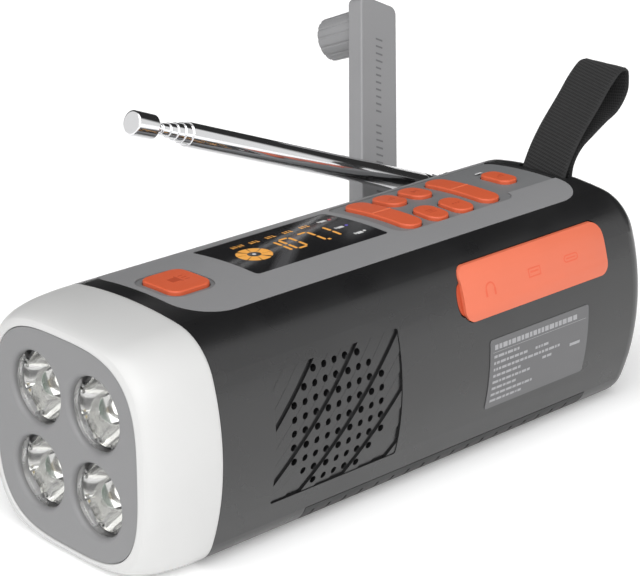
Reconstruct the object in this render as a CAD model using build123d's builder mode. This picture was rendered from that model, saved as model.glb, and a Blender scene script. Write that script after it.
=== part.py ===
from build123d import *
import math
import os

os.makedirs("parts", exist_ok=True)

# ---------------------------------------------------------------- driving dimensions (mm)
# X runs from the lamp (front, -X) to the strap (rear, +X), Y from the speaker side (-Y)
# to the crank side (+Y), Z up, origin under the middle of the base.
X_PLATE = -84.9          # front face of the lamp plate
X_SEAM = -64.9           # joint between the lamp bezel and the dark shells
X_REAR = 85.0            # rear end of the shells
HALF_W = 31.87           # half width at the waist
Z_WAIST = 28.3           # height of the waist
HEIGHT = 58.5            # height of the top at the middle
R_SIDE = 62.0            # bow of the side walls
R_TOP = 125.0            # crown of the top
R_CT = 14.0              # top corners
R_CB = 9.5               # bottom corners
WALL = 2.6               # shell wall
GAP = 0.15               # fitting gap between fixed parts

# top panel, display and keys (plan view)
PANEL_X = (-59.9, 75.8)
PANEL_Y = (-18.3, 25.5)
PANEL_R = 11.0
PANEL_T = 1.5
DISP_X = (-32.4, 11.5)
DISP_Y = (-7.5, 16.4)
KEY_PROUD = 0.6
KEY_TRAVEL = 0.5
FLANGE_TOP = 55.3        # top of every key flange, under the panel
BATT_Y, BATT_Z = -12.6, 13.6
BOARD_TOP = 52.0
BOARD_T = 1.2
# name, centre x, centre y, size x, size y, corner radius
KEYS = [
    ("torch_button", -50.0, 1.2, 12.2, 13.2, 2.8),
    ("tuning_rocker", 20.6, 3.6, 6.8, 24.2, 3.2),
    ("volume_rocker", 49.7, 3.6, 6.8, 23.6, 3.2),
    ("key_mode", 29.8, 10.4, 6.6, 9.6, 3.0),
    ("key_play", 39.1, 10.4, 6.6, 9.6, 3.0),
    ("key_band", 29.8, -4.2, 6.6, 9.6, 3.0),
    ("key_alarm", 39.1, -4.2, 6.6, 9.6, 3.0),
    ("key_siren", 64.4, 3.8, 6.0, 10.0, 2.4),
]

SCREWS = ((-52, 13), (-52, 42), (75, 14), (-4, 46))
# lamp
LED_PITCH = 21.0
LED_R = 9.25
# crank and generator
CRANK_X, CRANK_Z = 49.0, Z_WAIST
ARM_LEN = 77.0
ARM_W = 15.3
ARM_T = 5.0
HINGE_Y = 34.9           # fold pin height over the middle plane
KNOB_S = 69.5            # fold pin to knob axis
KNOB_R = 6.4
KNOB_L = 12.8
LEAN = math.radians(23.0)    # outward lean of the opened arm
TILT = math.radians(23.6)    # rearward tilt of the opened arm
MODULE = 0.8
T_CRANK, T_IDLE_P, T_IDLE_G, T_MOTOR = 40, 12, 36, 12
IDLE_X, IDLE_Z = 29.0, 34.0
MOTOR_X, MOTOR_Z = 10.106, 30.59
# antenna
ANT_X, ANT_Y, ANT_Z = 73.0, 33.6, 46.8
ANT_UP = math.radians(20.3)
ANT_LEN = 116.3          # pivot to the end of the tip, collapsed
TUBE_OD = [6.3, 5.4, 4.6, 3.8, 3.0, 2.2]
TUBE_WALL = 0.4
# sockets
JACK_X, USB_X, TYPEC_X, PORT_Z = 24.7, 41.2, 55.3, 46.3
COVER_X = (15.1, 69.0)
COVER_Z = (39.7, 53.0)


# ---------------------------------------------------------------- body section
def circle_meet(c1, r1, c2, r2, high=True):
    """The meeting point of two circles, the one with the larger first coordinate."""
    dx, dy = c2[0] - c1[0], c2[1] - c1[1]
    d = math.hypot(dx, dy)
    a = (r1 * r1 - r2 * r2 + d * d) / (2 * d)
    h = math.sqrt(r1 * r1 - a * a)
    p = (c1[0] + a * dx / d, c1[1] + a * dy / d)
    q = [(p[0] + h * dy / d, p[1] - h * dx / d), (p[0] - h * dy / d, p[1] + h * dx / d)]
    return max(q, key=lambda v: v[0])


def section(inset=0.0, bottom=0.0):
    """Cross-section of the case in (Y, Z): crowned top, bowed sides, flat bottom."""
    r_s, r_t = R_SIDE - inset, R_TOP - inset
    side = (HALF_W - R_SIDE, Z_WAIST)
    top = (0.0, HEIGHT - R_TOP)
    zb = bottom + inset
    corner = circle_meet(side, r_s, top, r_t)
    yb = side[0] + math.sqrt(r_s**2 - (zb - side[1]) ** 2)
    with BuildSketch(Plane.XY) as s:
        with BuildLine():
            ThreePointArc((-corner[0], corner[1]), (0, HEIGHT - inset), corner)
            ThreePointArc(corner, (side[0] + r_s, Z_WAIST), (yb, zb))
            Line((yb, zb), (-yb, zb))
            ThreePointArc((-yb, zb), (-side[0] - r_s, Z_WAIST), (-corner[0], corner[1]))
        make_face()
        vs = s.vertices().sort_by(Axis.Y)
        fillet(vs[2:], max(R_CT - inset, 1.0))
        fillet(s.vertices().sort_by(Axis.Y)[:2], max(R_CB - inset, 1.0))
    return s.sketch


def prism(inset, x0, x1, bottom=0.0):
    """The case section drawn out from x0 to x1."""
    with BuildPart() as p:
        with BuildSketch(Plane.YZ.offset(x0)):
            add(section(inset, bottom))
        extrude(amount=x1 - x0)
    return p.part


def skin(outer, inner, x0=-70.0, x1=90.0):
    """A layer that follows the case, from inset `outer` to inset `inner`."""
    with BuildPart() as p:
        add(prism(outer, x0, x1))
        add(prism(inner, x0 - 1, x1 + 1), mode=Mode.SUBTRACT)
    return p.part


def plan_box(x, y, r, z0, z1, grow=0.0):
    """A rounded rectangle in plan view, drawn out from z0 to z1."""
    with BuildPart() as p:
        with BuildSketch(Plane.XY.offset(z0)):
            with Locations(((x[0] + x[1]) / 2, (y[0] + y[1]) / 2)):
                RectangleRounded(x[1] - x[0] + 2 * grow, y[1] - y[0] + 2 * grow, r + grow)
        extrude(amount=z1 - z0)
    return p.part


def side_box(x, z, r, y0, y1, grow=0.0):
    """A rounded rectangle seen from the side, drawn out from y0 to y1."""
    with BuildPart() as p:
        with BuildSketch(Plane(origin=(0, y0, 0), x_dir=(1, 0, 0), z_dir=(0, -1, 0))):
            with Locations(((x[0] + x[1]) / 2, (z[0] + z[1]) / 2)):
                RectangleRounded(x[1] - x[0] + 2 * grow, z[1] - z[0] + 2 * grow, r + grow)
        extrude(amount=y0 - y1)
    return p.part


def on_y(x, z, y):
    """A plane across the Y axis at (x, y, z), with its normal along +Y."""
    return Plane(origin=(x, y, z), x_dir=(0, 0, 1), z_dir=(0, 1, 0))


def drum(x, z, y0, y1, r, bore=0.0):
    """A round part on an axis along Y, with an optional bore."""
    with BuildPart() as p:
        with BuildSketch(on_y(x, z, y0)):
            Circle(r)
            if bore:
                Circle(bore, mode=Mode.SUBTRACT)
        extrude(amount=y1 - y0)
    return p.part


def save(part, name):
    part.label = name
    export_step(part, f"parts/{name}.step")


# ---------------------------------------------------------------- shells
KNOB_X = CRANK_X - KNOB_S
with BuildPart() as body_hollow:
    add(prism(0.0, X_SEAM, X_REAR))
    rear_edges = body_hollow.faces().sort_by(Axis.X)[-1].edges()
    fillet(rear_edges, 6.0)
    # waist hollow across the rear end
    with BuildSketch(Plane.XZ.offset(-60)):
        with Locations((X_REAR + 2.0, 27.2)):
            RectangleRounded(8.0, 25.6, 2.0)
    extrude(amount=120, mode=Mode.SUBTRACT)
    # the hollow runs round both rear corners
    for side in (-1, 1):
        corner = Plane(origin=(X_REAR - 6.0, side * 25.87, 0), x_dir=(0.72, side * 0.69397, 0), z_dir=(0.69397, -side * 0.72, 0))
        with BuildSketch(corner):
            with BuildLine():
                Polyline((4.7, 15.6), (4.7, 39.0), (6.6, 42.6), (9.0, 42.6), (9.0, 13.4), (6.6, 13.4), close=True)
            make_face()
        extrude(amount=14, both=True, mode=Mode.SUBTRACT)
    # cavity
    add(prism(WALL, X_SEAM - 1, X_REAR - 4.6), mode=Mode.SUBTRACT)
    # seat and opening for the top panel
    with BuildPart(mode=Mode.PRIVATE) as seat:
        add(plan_box(PANEL_X, PANEL_Y, PANEL_R, 40, 70, GAP))
        add(prism(PANEL_T + 0.05, -90, 90), mode=Mode.SUBTRACT)
    add(seat.part, mode=Mode.SUBTRACT)
    add(plan_box((PANEL_X[0] + 2, PANEL_X[1] - 2), (PANEL_Y[0] + 2, PANEL_Y[1] - 6), PANEL_R - 2, 45, 70), mode=Mode.SUBTRACT)
    # slot for the hand strap
    add(plan_box((77.0, 82.2), (-8.4, 8.4), 1.2, 50, 70), mode=Mode.SUBTRACT)
    add(drum(79.6, 52.75, -9.8, 9.8, 1.05), mode=Mode.SUBTRACT)
    # opening for the base pad tongue
    with BuildSketch(Plane.XY.offset(-1)):
        with Locations((14.9, 0)):
            RectangleRounded(96, 30, 4)
    extrude(amount=2.2, mode=Mode.SUBTRACT)

with BuildPart() as pad_zone:
    # band round the bottom corners that the base pad fills
    with BuildSketch(Plane.YZ.offset(-36.0)):
        Rectangle(80, 12.4)
    extrude(amount=101.6)

with BuildPart() as knob_pocket_space:
    add(drum(KNOB_X, CRANK_Z, 17.4, 40, KNOB_R + 0.85))
with BuildPart() as knob_pocket_wall:
    add(drum(KNOB_X, CRANK_Z, 16.2, 31.0, KNOB_R + 2.2))

with BuildPart() as far_shell:
    add(body_hollow.part)
    split(bisect_by=Plane(origin=(0, 0.0, 0), x_dir=(1, 0, 0), z_dir=(0, 1, 0)), keep=Keep.TOP)
    with BuildPart(mode=Mode.PRIVATE) as pocket:
        add(knob_pocket_wall.part)
        add(prism(0.6, -90, 90), mode=Mode.INTERSECT)
    add(pocket.part)
    add(knob_pocket_space.part, mode=Mode.SUBTRACT)
    # hub recess and bearing boss of the crank
    with BuildPart(mode=Mode.PRIVATE) as boss:
        add(drum(CRANK_X, CRANK_Z, 25.0, 31.0, 14.2))
        add(prism(0.6, -90, 90), mode=Mode.INTERSECT)
    add(boss.part)
    add(drum(CRANK_X, CRANK_Z, 27.6, 45, 12.4), mode=Mode.SUBTRACT)
    add(drum(CRANK_X, CRANK_Z, 20, 30, 4.0), mode=Mode.SUBTRACT)
    # antenna boss with its swivel bore
    add(drum(ANT_X, ANT_Z, 21.0, 29.2, 5.6))
    add(drum(ANT_X, ANT_Z, 20.0, 30.0, 2.1), mode=Mode.SUBTRACT)
    add(drum(ANT_X, ANT_Z, 29.2, 38.0, 5.6), mode=Mode.SUBTRACT)
    # four counterbored screw holes
    for sx, sz in SCREWS:
        add(drum(sx, sz, 1.0, 40, 1.35), mode=Mode.SUBTRACT)
        add(drum(sx, sz, 26.6, 40, 2.6), mode=Mode.SUBTRACT)
    with BuildPart(mode=Mode.PRIVATE) as band:
        add(pad_zone.part)
        add(prism(1.6, -90, 90), mode=Mode.SUBTRACT)
    add(band.part, mode=Mode.SUBTRACT)

# speaker grille: rows of holes, and slanted grooves round them
GRILLE_X, GRILLE_Z, PITCH = -28.8, 28.35, 3.52
GRILLE_RECT = ((-49.0, -8.0), (12.0, 44.6))
BAND = 4 * PITCH         # width of one group of slanted strips, measured along X
BAND_AT = -65.5          # x - z of the step that ends one group
grille_pts = []
for i, n in enumerate((5, 7, 9, 9, 9, 9, 9, 7, 5)):
    for j in range(n):
        grille_pts.append((GRILLE_X + (i - 4) * PITCH, GRILLE_Z + (j - (n - 1) / 2) * PITCH))



def slanted(c0, c1):
    """A strip of the grille field at 45 degrees, between x - z = c0 and c1, inside the field's rectangle."""
    (xa, xb), (za, zb) = GRILLE_RECT
    with BuildPart() as p:
        with BuildSketch(Plane(origin=(0, -20, 0), x_dir=(1, 0, 0), z_dir=(0, -1, 0))):
            with BuildLine():
                Polyline((c0 - 10, -10), (c1 - 10, -10), (c1 + 70, 70), (c0 + 70, 70), close=True)
            make_face()
            with Locations(((xa + xb) / 2, (za + zb) / 2)):
                RectangleRounded(xb - xa, zb - za, 0.6, mode=Mode.INTERSECT)
        extrude(amount=20)
    return p.part


# each group of three strips steps down from the wall and returns to it at the next group,
# and a narrow groove ends every strip
STRIPS = []
for m in range(-2, 5):
    start = BAND_AT + (m - 1) * BAND
    for k, depth in enumerate((0.2, 0.42, 0.64)):
        a, b = start + BAND * k / 3, start + BAND * (k + 1) / 3
        wide = 1.1 if k == 2 else 0.42
        STRIPS.append((a, b - wide, depth))
        STRIPS.append((b - wide, b, depth + (0.4 if k == 2 else 0.26)))
lo_c, hi_c = GRILLE_RECT[0][0] - GRILLE_RECT[1][1] + 0.6, GRILLE_RECT[0][1] - GRILLE_RECT[1][0] - 0.6
with BuildPart() as near_shell:
    add(body_hollow.part)
    split(bisect_by=Plane(origin=(0, 0.0, 0), x_dir=(1, 0, 0), z_dir=(0, 1, 0)), keep=Keep.BOTTOM)
    # recess and three windows under the port cover
    with BuildPart(mode=Mode.PRIVATE) as recess:
        add(side_box(COVER_X, COVER_Z, 3.0, -20, -40, 0.25))
        add(prism(1.5, -90, 90), mode=Mode.SUBTRACT)
    add(recess.part, mode=Mode.SUBTRACT)
    add(side_box((JACK_X - 4.3, JACK_X + 4.3), (PORT_Z - 4.3, PORT_Z + 4.3), 4.2, -20, -32), mode=Mode.SUBTRACT)
    add(side_box((USB_X - 7.5, USB_X + 7.5), (PORT_Z - 3.9, PORT_Z + 3.9), 1.0, -20, -32), mode=Mode.SUBTRACT)
    add(side_box((TYPEC_X - 5.0, TYPEC_X + 5.0), (PORT_Z - 2.1, PORT_Z + 2.1), 2.0, -20, -32), mode=Mode.SUBTRACT)
    # finger notch at the free end of the port cover
    with BuildSketch(Plane(origin=(0, -40, 0), x_dir=(1, 0, 0), z_dir=(0, 1, 0))):
        with Locations((COVER_X[0] - 0.2, -45.5)):
            Ellipse(1.9, 4.2)
    extrude(amount=12.2, mode=Mode.SUBTRACT)
    # slanted strips of the grille field
    for depth in sorted({d for a, b, d in STRIPS}):
        with BuildPart(mode=Mode.PRIVATE) as relief:
            for a, b, d in STRIPS:
                if d == depth and b > lo_c and a < hi_c:
                    add(slanted(a, b))
            add(skin(-0.5, depth, -55, -2), mode=Mode.INTERSECT)
        add(relief.part, mode=Mode.SUBTRACT)
    # grille holes
    with BuildSketch(Plane(origin=(0, -40, 0), x_dir=(1, 0, 0), z_dir=(0, 1, 0))):
        with Locations(*[(x, -z) for x, z in grille_pts]):
            Circle(0.9)
    extrude(amount=15, mode=Mode.SUBTRACT)
    # screw bosses that the housing screws bite into
    for sx, sz in SCREWS:
        with BuildPart(mode=Mode.PRIVATE) as sb:
            add(drum(sx, sz, -30.0, -0.2, 2.8))
            add(prism(0.8, -90, 90), mode=Mode.INTERSECT)
        add(sb.part)
        add(drum(sx, sz, -16, 0, 1.05), mode=Mode.SUBTRACT)
    with BuildPart(mode=Mode.PRIVATE) as band2:
        add(pad_zone.part)
        add(prism(1.6, -90, 90), mode=Mode.SUBTRACT)
    add(band2.part, mode=Mode.SUBTRACT)
save(far_shell.part, "far_shell")
save(near_shell.part, "near_shell")

# base pad: follows the bottom corners, with slanted tread notches along both edges
with BuildPart() as base_pad:
    with BuildPart(mode=Mode.PRIVATE) as base_block:
        with BuildSketch(Plane.YZ.offset(-35.8)):
            Rectangle(80, 12.0)
        extrude(amount=101.2)
    add(base_block.part)
    add(skin(0.0, 1.55), mode=Mode.INTERSECT)
    for i in range(18):
        xn = -33.0 + 5.4 * i
        for side in (-1, 1):
            with BuildSketch(Plane.XY.offset(-1)):
                with BuildLine():
                    Polyline((xn, side * 22.6), (xn + 2.6, side * 34), (xn + 0.4, side * 34), close=True)
                make_face()
            extrude(amount=5.4, mode=Mode.SUBTRACT)
save(base_pad.part, "base_pad")

# ---------------------------------------------------------------- lamp head
def blend_ring(x):
    """Closed outline of the lamp bezel at x: the case section eased to a squircle at the front."""
    t = (X_SEAM - x) / (X_SEAM - X_PLATE)
    ease = 1.0 - (1.0 - t**2.3) ** (1 / 2.3) if t < 1 else 1.0
    pts = []
    for k in range(72):
        a = 2 * math.pi * (k + 0.5) / 72
        c, s = math.cos(a), math.sin(a)
        r_sq = 26.6 / (abs(c) ** 3.3 + abs(s) ** 3.3) ** (1 / 3.3)
        r_body = ray_to_section(c, s)
        r = r_body * (1 - ease) + r_sq * ease
        pts.append((r * c, Z_WAIST + r * s))
    return pts


SECTION_FACE = section(0.0)


def ray_to_section(c, s):
    """Distance from the waist centre to the case outline along (c, s)."""
    far = Edge.make_line((0, Z_WAIST), (80 * c, Z_WAIST + 80 * s))
    hit = SECTION_FACE.face().intersect(far)
    shape = hit[0] if isinstance(hit, (list, ShapeList)) else hit
    return shape.length


def bezel_loft(shift, front):
    """The bezel's solid form, inset by `shift`, from x = front to the seam."""
    xs = [front + (X_SEAM - front) * f for f in (0.0, 0.06, 0.2, 0.42, 0.7, 1.0)]
    with BuildPart() as p:
        for x in xs:
            ring = blend_ring(max(x, X_PLATE))
            with BuildSketch(Plane.YZ.offset(x)):
                with BuildLine():
                    if shift:
                        q = []
                        for y, z in ring:
                            d = math.hypot(y, z - Z_WAIST)
                            q.append((y * (d - shift) / d, Z_WAIST + (z - Z_WAIST) * (d - shift) / d))
                        Spline(*q, periodic=True)
                    else:
                        Spline(*ring, periodic=True)
                make_face()
        loft()
    return p.part


def squircle(half, n=3.3, count=40):
    pts = []
    for k in range(count):
        a = 2 * math.pi * (k + 0.5) / count
        c, s = math.cos(a), math.sin(a)
        r = half / (abs(c) ** n + abs(s) ** n) ** (1 / n)
        pts.append((r * c, Z_WAIST + r * s))
    return pts


with BuildPart() as lamp_bezel:
    add(bezel_loft(0.0, X_PLATE))
    add(bezel_loft(2.4, X_PLATE + 2.6), mode=Mode.SUBTRACT)
    with BuildSketch(Plane.YZ.offset(X_PLATE - 1)):
        with BuildLine():
            Spline(*squircle(25.9), periodic=True)
        make_face()
    extrude(amount=6, mode=Mode.SUBTRACT)
    # spigot that enters the shells
    with BuildPart(mode=Mode.PRIVATE) as spigot:
        add(prism(2.75, X_SEAM - 3.0, X_SEAM + 4.0))
        add(prism(1.9, X_SEAM - 2.5, X_SEAM))
        add(prism(4.2, X_SEAM - 4.0, X_SEAM + 5.0), mode=Mode.SUBTRACT)
    add(spigot.part)
save(lamp_bezel.part, "lamp_bezel")

LED_AT = [(sy * LED_PITCH / 2, Z_WAIST + sz * LED_PITCH / 2) for sy in (-1, 1) for sz in (-1, 1)]

with BuildPart() as reflector_plate:
    with BuildSketch(Plane.YZ.offset(X_PLATE + 0.3)):
        with BuildLine():
            Spline(*squircle(25.75), periodic=True)
        make_face()
        with Locations(*LED_AT):
            Circle(LED_R - 0.4, mode=Mode.SUBTRACT)
    extrude(amount=1.8)
    # rounded mouths of the four lamp openings
    mouths = reflector_plate.faces().sort_by(Axis.X)[0].edges().filter_by(GeomType.CIRCLE)
    fillet(mouths, 1.2)
save(reflector_plate.part, "reflector_plate")


def at_leds(profile_points, arcs=False):
    """Four identical turned parts, one at each lamp position."""
    with BuildPart() as p:
        for y, z in LED_AT:
            pl = Plane(origin=(0, y, z), x_dir=(1, 0, 0), z_dir=(0, -1, 0))
            with BuildSketch(pl):
                with BuildLine():
                    Polyline(*profile_points, close=True)
                make_face()
            revolve(axis=Axis((0, y, z), (1, 0, 0)))
    return p.part


x0 = X_PLATE + 2.25
save(at_leds([(x0, 9.2), (x0, 8.6), (x0 + 2.0, 8.1), (x0 + 4.0, 7.0), (x0 + 6.0, 5.2), (x0 + 7.2, 3.4),
              (x0 + 8.2, 3.4), (x0 + 7.0, 6.0), (x0 + 4.6, 8.0), (x0 + 2.2, 9.2)]), "led_reflectors")
save(at_leds([(x0 + 1.6, 0.0), (x0 + 1.6, 8.0), (x0 + 0.3, 8.3), (x0 + 0.3, 6.0), (x0 + 0.05, 3.0), (x0, 0.0)]), "led_lenses")
save(at_leds([(x0 + 8.3, 0.0), (x0 + 8.3, 2.6), (x0 + 6.4, 2.6), (x0 + 5.3, 1.9), (x0 + 4.7, 0.0)]), "led_emitters")

with BuildPart() as led_board:
    with BuildSketch(Plane.YZ.offset(x0 + 8.3)):
        with BuildLine():
            Spline(*squircle(23.6), periodic=True)
        make_face()
        Circle(2.5, mode=Mode.SUBTRACT)
    extrude(amount=1.6)
save(led_board.part, "led_board")

# ---------------------------------------------------------------- top panel and display
with BuildPart() as top_panel:
    with BuildPart(mode=Mode.PRIVATE) as plate:
        add(plan_box(PANEL_X, PANEL_Y, PANEL_R, 40, 70))
        add(skin(0.0, PANEL_T), mode=Mode.INTERSECT)
    add(plate.part)
    # shallow field round the keys and dish round the torch button
    # the key field runs out through the panel's rear edge
    for fx, fy, fr in (((13.6, 57.0), (-9.6, 18.6), 4.0), ((48.0, 84.0), (-6.2, 18.6), 1.5), ((-58.2, -42.6), (-7.2, 9.6), 5.0)):
        with BuildPart(mode=Mode.PRIVATE) as field:
            add(plan_box(fx, fy, fr, 50, 70))
            add(prism(0.45, -90, 90), mode=Mode.SUBTRACT)
        add(field.part, mode=Mode.SUBTRACT)
    add(plan_box(DISP_X, DISP_Y, 1.2, 50, 70), mode=Mode.SUBTRACT)
    for name, kx, ky, sx, sy, kr in KEYS:
        add(plan_box((kx - sx / 2, kx + sx / 2), (ky - sy / 2, ky + sy / 2), kr, 50, 70, 0.2), mode=Mode.SUBTRACT)
save(top_panel.part, "top_panel")

with BuildPart() as display_window:
    add(plan_box(DISP_X, DISP_Y, 1.1, 50, 70, -0.1))
    add(skin(0.1, PANEL_T), mode=Mode.INTERSECT)
save(display_window.part, "display_window")

with BuildPart() as display_module:
    add(plan_box((DISP_X[0] + 1, DISP_X[1] - 1), (DISP_Y[0] + 1, DISP_Y[1] - 1), 0.8, BOARD_TOP, 54.6))
save(display_module.part, "display_module")

for name, kx, ky, sx, sy, kr in KEYS:
    with BuildPart() as key:
        with BuildPart(mode=Mode.PRIVATE) as cap:
            add(plan_box((kx - sx / 2, kx + sx / 2), (ky - sy / 2, ky + sy / 2), kr, FLANGE_TOP - 0.8, 70))
            add(prism(-KEY_PROUD, -90, 90), mode=Mode.INTERSECT)
            fillet(cap.faces().sort_by(Axis.Z)[-1].edges(), 0.4)
        add(cap.part)
        add(plan_box((kx - sx / 2, kx + sx / 2), (ky - sy / 2, ky + sy / 2), kr, FLANGE_TOP - 0.8, FLANGE_TOP, 0.6))
        add(plan_box((kx - 1.2, kx + 1.2), (ky - 1.2, ky + 1.2), 1.1, FLANGE_TOP - 1.0, FLANGE_TOP))
    save(key.part, name)

with BuildPart() as main_board:
    with BuildSketch(Plane.XY.offset(BOARD_TOP - BOARD_T)):
        with Locations((6.0, 0.0)):
            RectangleRounded(128, 36, 3)
        with Locations((40.0, -19.0)):
            RectangleRounded(46, 7, 1.5)
        with Locations((-54, 14), (-54, -14), (66, 14), (66, -14)):
            Circle(1.6, mode=Mode.SUBTRACT)
    extrude(amount=BOARD_T)
save(main_board.part, "main_board")

with BuildPart() as tact_switches:
    for name, kx, ky, sx, sy, kr in KEYS:
        spots = [(kx, ky)] if not name.endswith("rocker") else [(kx, ky - 8), (kx, ky + 8)]
        for px, py in spots:
            with BuildSketch(Plane.XY.offset(BOARD_TOP)):
                with Locations((px, py)):
                    RectangleRounded(4.5, 4.5, 0.6)
            extrude(amount=1.1)
            with BuildSketch(Plane.XY.offset(BOARD_TOP + 1.1)):
                with Locations((px, py)):
                    Circle(1.2)
            extrude(amount=0.5)
save(tact_switches.part, "tact_switches")

# ---------------------------------------------------------------- sockets, cover and label
def toward_near(x, z, y):
    """A plane at depth y with its normal pointing out of the speaker side."""
    return Plane(origin=(x, y, z), x_dir=(1, 0, 0), z_dir=(0, -1, 0))


with BuildPart() as headphone_jack:
    with BuildSketch(toward_near(JACK_X, PORT_Z, -15.4)):
        Rectangle(7.4, 6.6)
    extrude(amount=9.6)
    with BuildSketch(toward_near(JACK_X, PORT_Z, -15.4)):
        Circle(3.3)
    extrude(amount=10.8)
    with BuildSketch(toward_near(JACK_X, PORT_Z, -16.4)):
        Circle(1.8)
    extrude(amount=12, mode=Mode.SUBTRACT)
save(headphone_jack.part, "headphone_jack")

with BuildPart() as usb_a_socket:
    with BuildSketch(toward_near(USB_X, PORT_Z, -12.6)):
        Rectangle(14.2, 7.0)
    extrude(amount=13.6)
    with BuildSketch(toward_near(USB_X, PORT_Z, -14.0)):
        Rectangle(12.5, 5.2)
    extrude(amount=14, mode=Mode.SUBTRACT)
save(usb_a_socket.part, "usb_a_socket")

with BuildPart() as usb_a_tongue:
    with BuildSketch(toward_near(USB_X, PORT_Z + 1.2, -14.0)):
        Rectangle(11.0, 1.8)
    extrude(amount=8.6)
save(usb_a_tongue.part, "usb_a_tongue")

with BuildPart() as usb_c_socket:
    with BuildSketch(toward_near(TYPEC_X, PORT_Z, -19.6)):
        RectangleRounded(9.2, 3.5, 1.7)
    extrude(amount=7.4)
    with BuildSketch(toward_near(TYPEC_X, PORT_Z, -20.4)):
        RectangleRounded(8.5, 2.8, 1.35)
    extrude(amount=9, mode=Mode.SUBTRACT)
    with BuildSketch(toward_near(TYPEC_X, PORT_Z, -19.8)):
        Rectangle(6.6, 0.7)
    extrude(amount=6.2)
save(usb_c_socket.part, "usb_c_socket")

with BuildPart() as port_cover:
    with BuildPart(mode=Mode.PRIVATE) as flap:
        add(side_box(COVER_X, COVER_Z, 3.0, -20, -40))
        add(skin(-0.5, 1.3), mode=Mode.INTERSECT)
    add(flap.part)
    # thinner lip at the hinged end, so that it clears the recess as it swings
    add(prism(0.35, COVER_X[1] - 1.6, COVER_X[1] + 1.0), mode=Mode.SUBTRACT)
    # and a rebate behind the upper edge, which rises a little as the cover opens
    with BuildPart(mode=Mode.PRIVATE) as rebate:
        add(side_box((COVER_X[0] - 1, COVER_X[1] + 1), (COVER_Z[1] - 0.9, COVER_Z[1] + 3), 0.2, -15, -40))
        add(prism(0.25, COVER_X[0] - 2, COVER_X[1] + 2), mode=Mode.INTERSECT)
    add(rebate.part, mode=Mode.SUBTRACT)
save(port_cover.part, "port_cover")

with BuildPart() as rating_label:
    add(side_box((23.0, 60.6), (14.4, 33.4), 0.8, -20, -40))
    add(skin(-0.18, 0.0), mode=Mode.INTERSECT)
save(rating_label.part, "rating_label")

# ---------------------------------------------------------------- speaker
def turned_y(points, x, z):
    """A turned part on an axis along Y through (x, z); points are (y, radius)."""
    with BuildPart() as p:
        with BuildSketch(Plane(origin=(x, 0, z), x_dir=(0, 1, 0), z_dir=(-1, 0, 0))):
            with BuildLine():
                Polyline(*points, close=True)
            make_face()
        revolve(axis=Axis((x, 0, z), (0, 1, 0)))
    return p.part


SPK_X, SPK_Z = GRILLE_X, GRILLE_Z
save(turned_y([(-26.4, 17.9), (-26.4, 16.7), (-24.9, 16.3), (-18.3, 9.4), (-18.3, 8.2), (-17.1, 8.2), (-17.1, 10.6),
               (-24.2, 17.9)], SPK_X, SPK_Z), "speaker_frame")
save(turned_y([(-26.3, 16.5), (-25.5, 15.3), (-19.5, 6.2), (-21.1, 4.2), (-21.7, 0.0), (-20.9, 0.0), (-20.4, 4.0),
               (-18.7, 6.4), (-25.0, 15.9), (-25.7, 16.5)], SPK_X, SPK_Z), "speaker_cone")
save(turned_y([(-17.0, 0.0), (-17.0, 11.0), (-11.3, 11.0), (-11.3, 0.0)], SPK_X, SPK_Z), "speaker_magnet")

# ---------------------------------------------------------------- battery
with BuildPart() as battery_cell:
    with BuildSketch(Plane.YZ.offset(-8.0)):
        with Locations((BATT_Y, BATT_Z)):
            Circle(9.2)
    extrude(amount=64.0)
    fillet(battery_cell.edges().filter_by(GeomType.CIRCLE), 0.8)
    with BuildSketch(Plane.YZ.offset(56.0)):
        with Locations((BATT_Y, BATT_Z)):
            Circle(3.0)
    extrude(amount=1.2)
save(battery_cell.part, "battery_cell")

with BuildPart() as battery_cradle:
    with BuildSketch(Plane.YZ.offset(-11.0)):
        with BuildLine():
            Polyline((BATT_Y - 7.0, 2.8), (BATT_Y + 9.8, 2.8), (BATT_Y + 9.8, 10.6), (BATT_Y - 9.8, 10.6), (BATT_Y - 9.8, 6.0), close=True)
        make_face()
        with Locations((BATT_Y, BATT_Z)):
            Circle(9.45, mode=Mode.SUBTRACT)
    extrude(amount=70.6)
    for bx in (-11.0, 58.0):
        with BuildSketch(Plane.YZ.offset(bx)):
            with Locations((BATT_Y, 12.2)):
                Rectangle(17.0, 11.0)
        extrude(amount=1.6)
save(battery_cradle.part, "battery_cradle")

# ---------------------------------------------------------------- generator gear train
def gear_sketch(teeth, turn, add_h=0.72, ded_h=1.12, play=0.13, pa=math.radians(22.0)):
    """Points of a spur gear outline with involute flanks; turn is the angle of a tooth's middle."""
    rp = MODULE * teeth / 2
    rb, ra, rr = rp * math.cos(pa), rp + add_h * MODULE, rp - ded_h * MODULE
    half = math.pi / (2 * teeth) - play / (2 * rp) / 2 * 1.0
    inv = lambda r: 0.0 if r <= rb else math.sqrt((r / rb) ** 2 - 1) - math.atan(math.sqrt((r / rb) ** 2 - 1))
    pts = []
    r_in = max(rb, rr)
    radii = [r_in + (ra - r_in) * k / 4 for k in range(5)]
    for i in range(teeth):
        mid = turn + 2 * math.pi * i / teeth
        left = [(r, mid - half - inv(rp) + inv(r)) for r in radii]
        right = [(r, mid + half + inv(rp) - inv(r)) for r in reversed(radii)]
        root_l = (rr, mid - half - inv(rp) + inv(r_in) - 0.0)
        root_r = (rr, mid + half + inv(rp) - inv(r_in) + 0.0)
        ring = left + right if rr >= rb else [root_l] + left + right + [root_r]
        for r, a in ring:
            pts.append((r * math.cos(a), r * math.sin(a)))
    return pts


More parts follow.
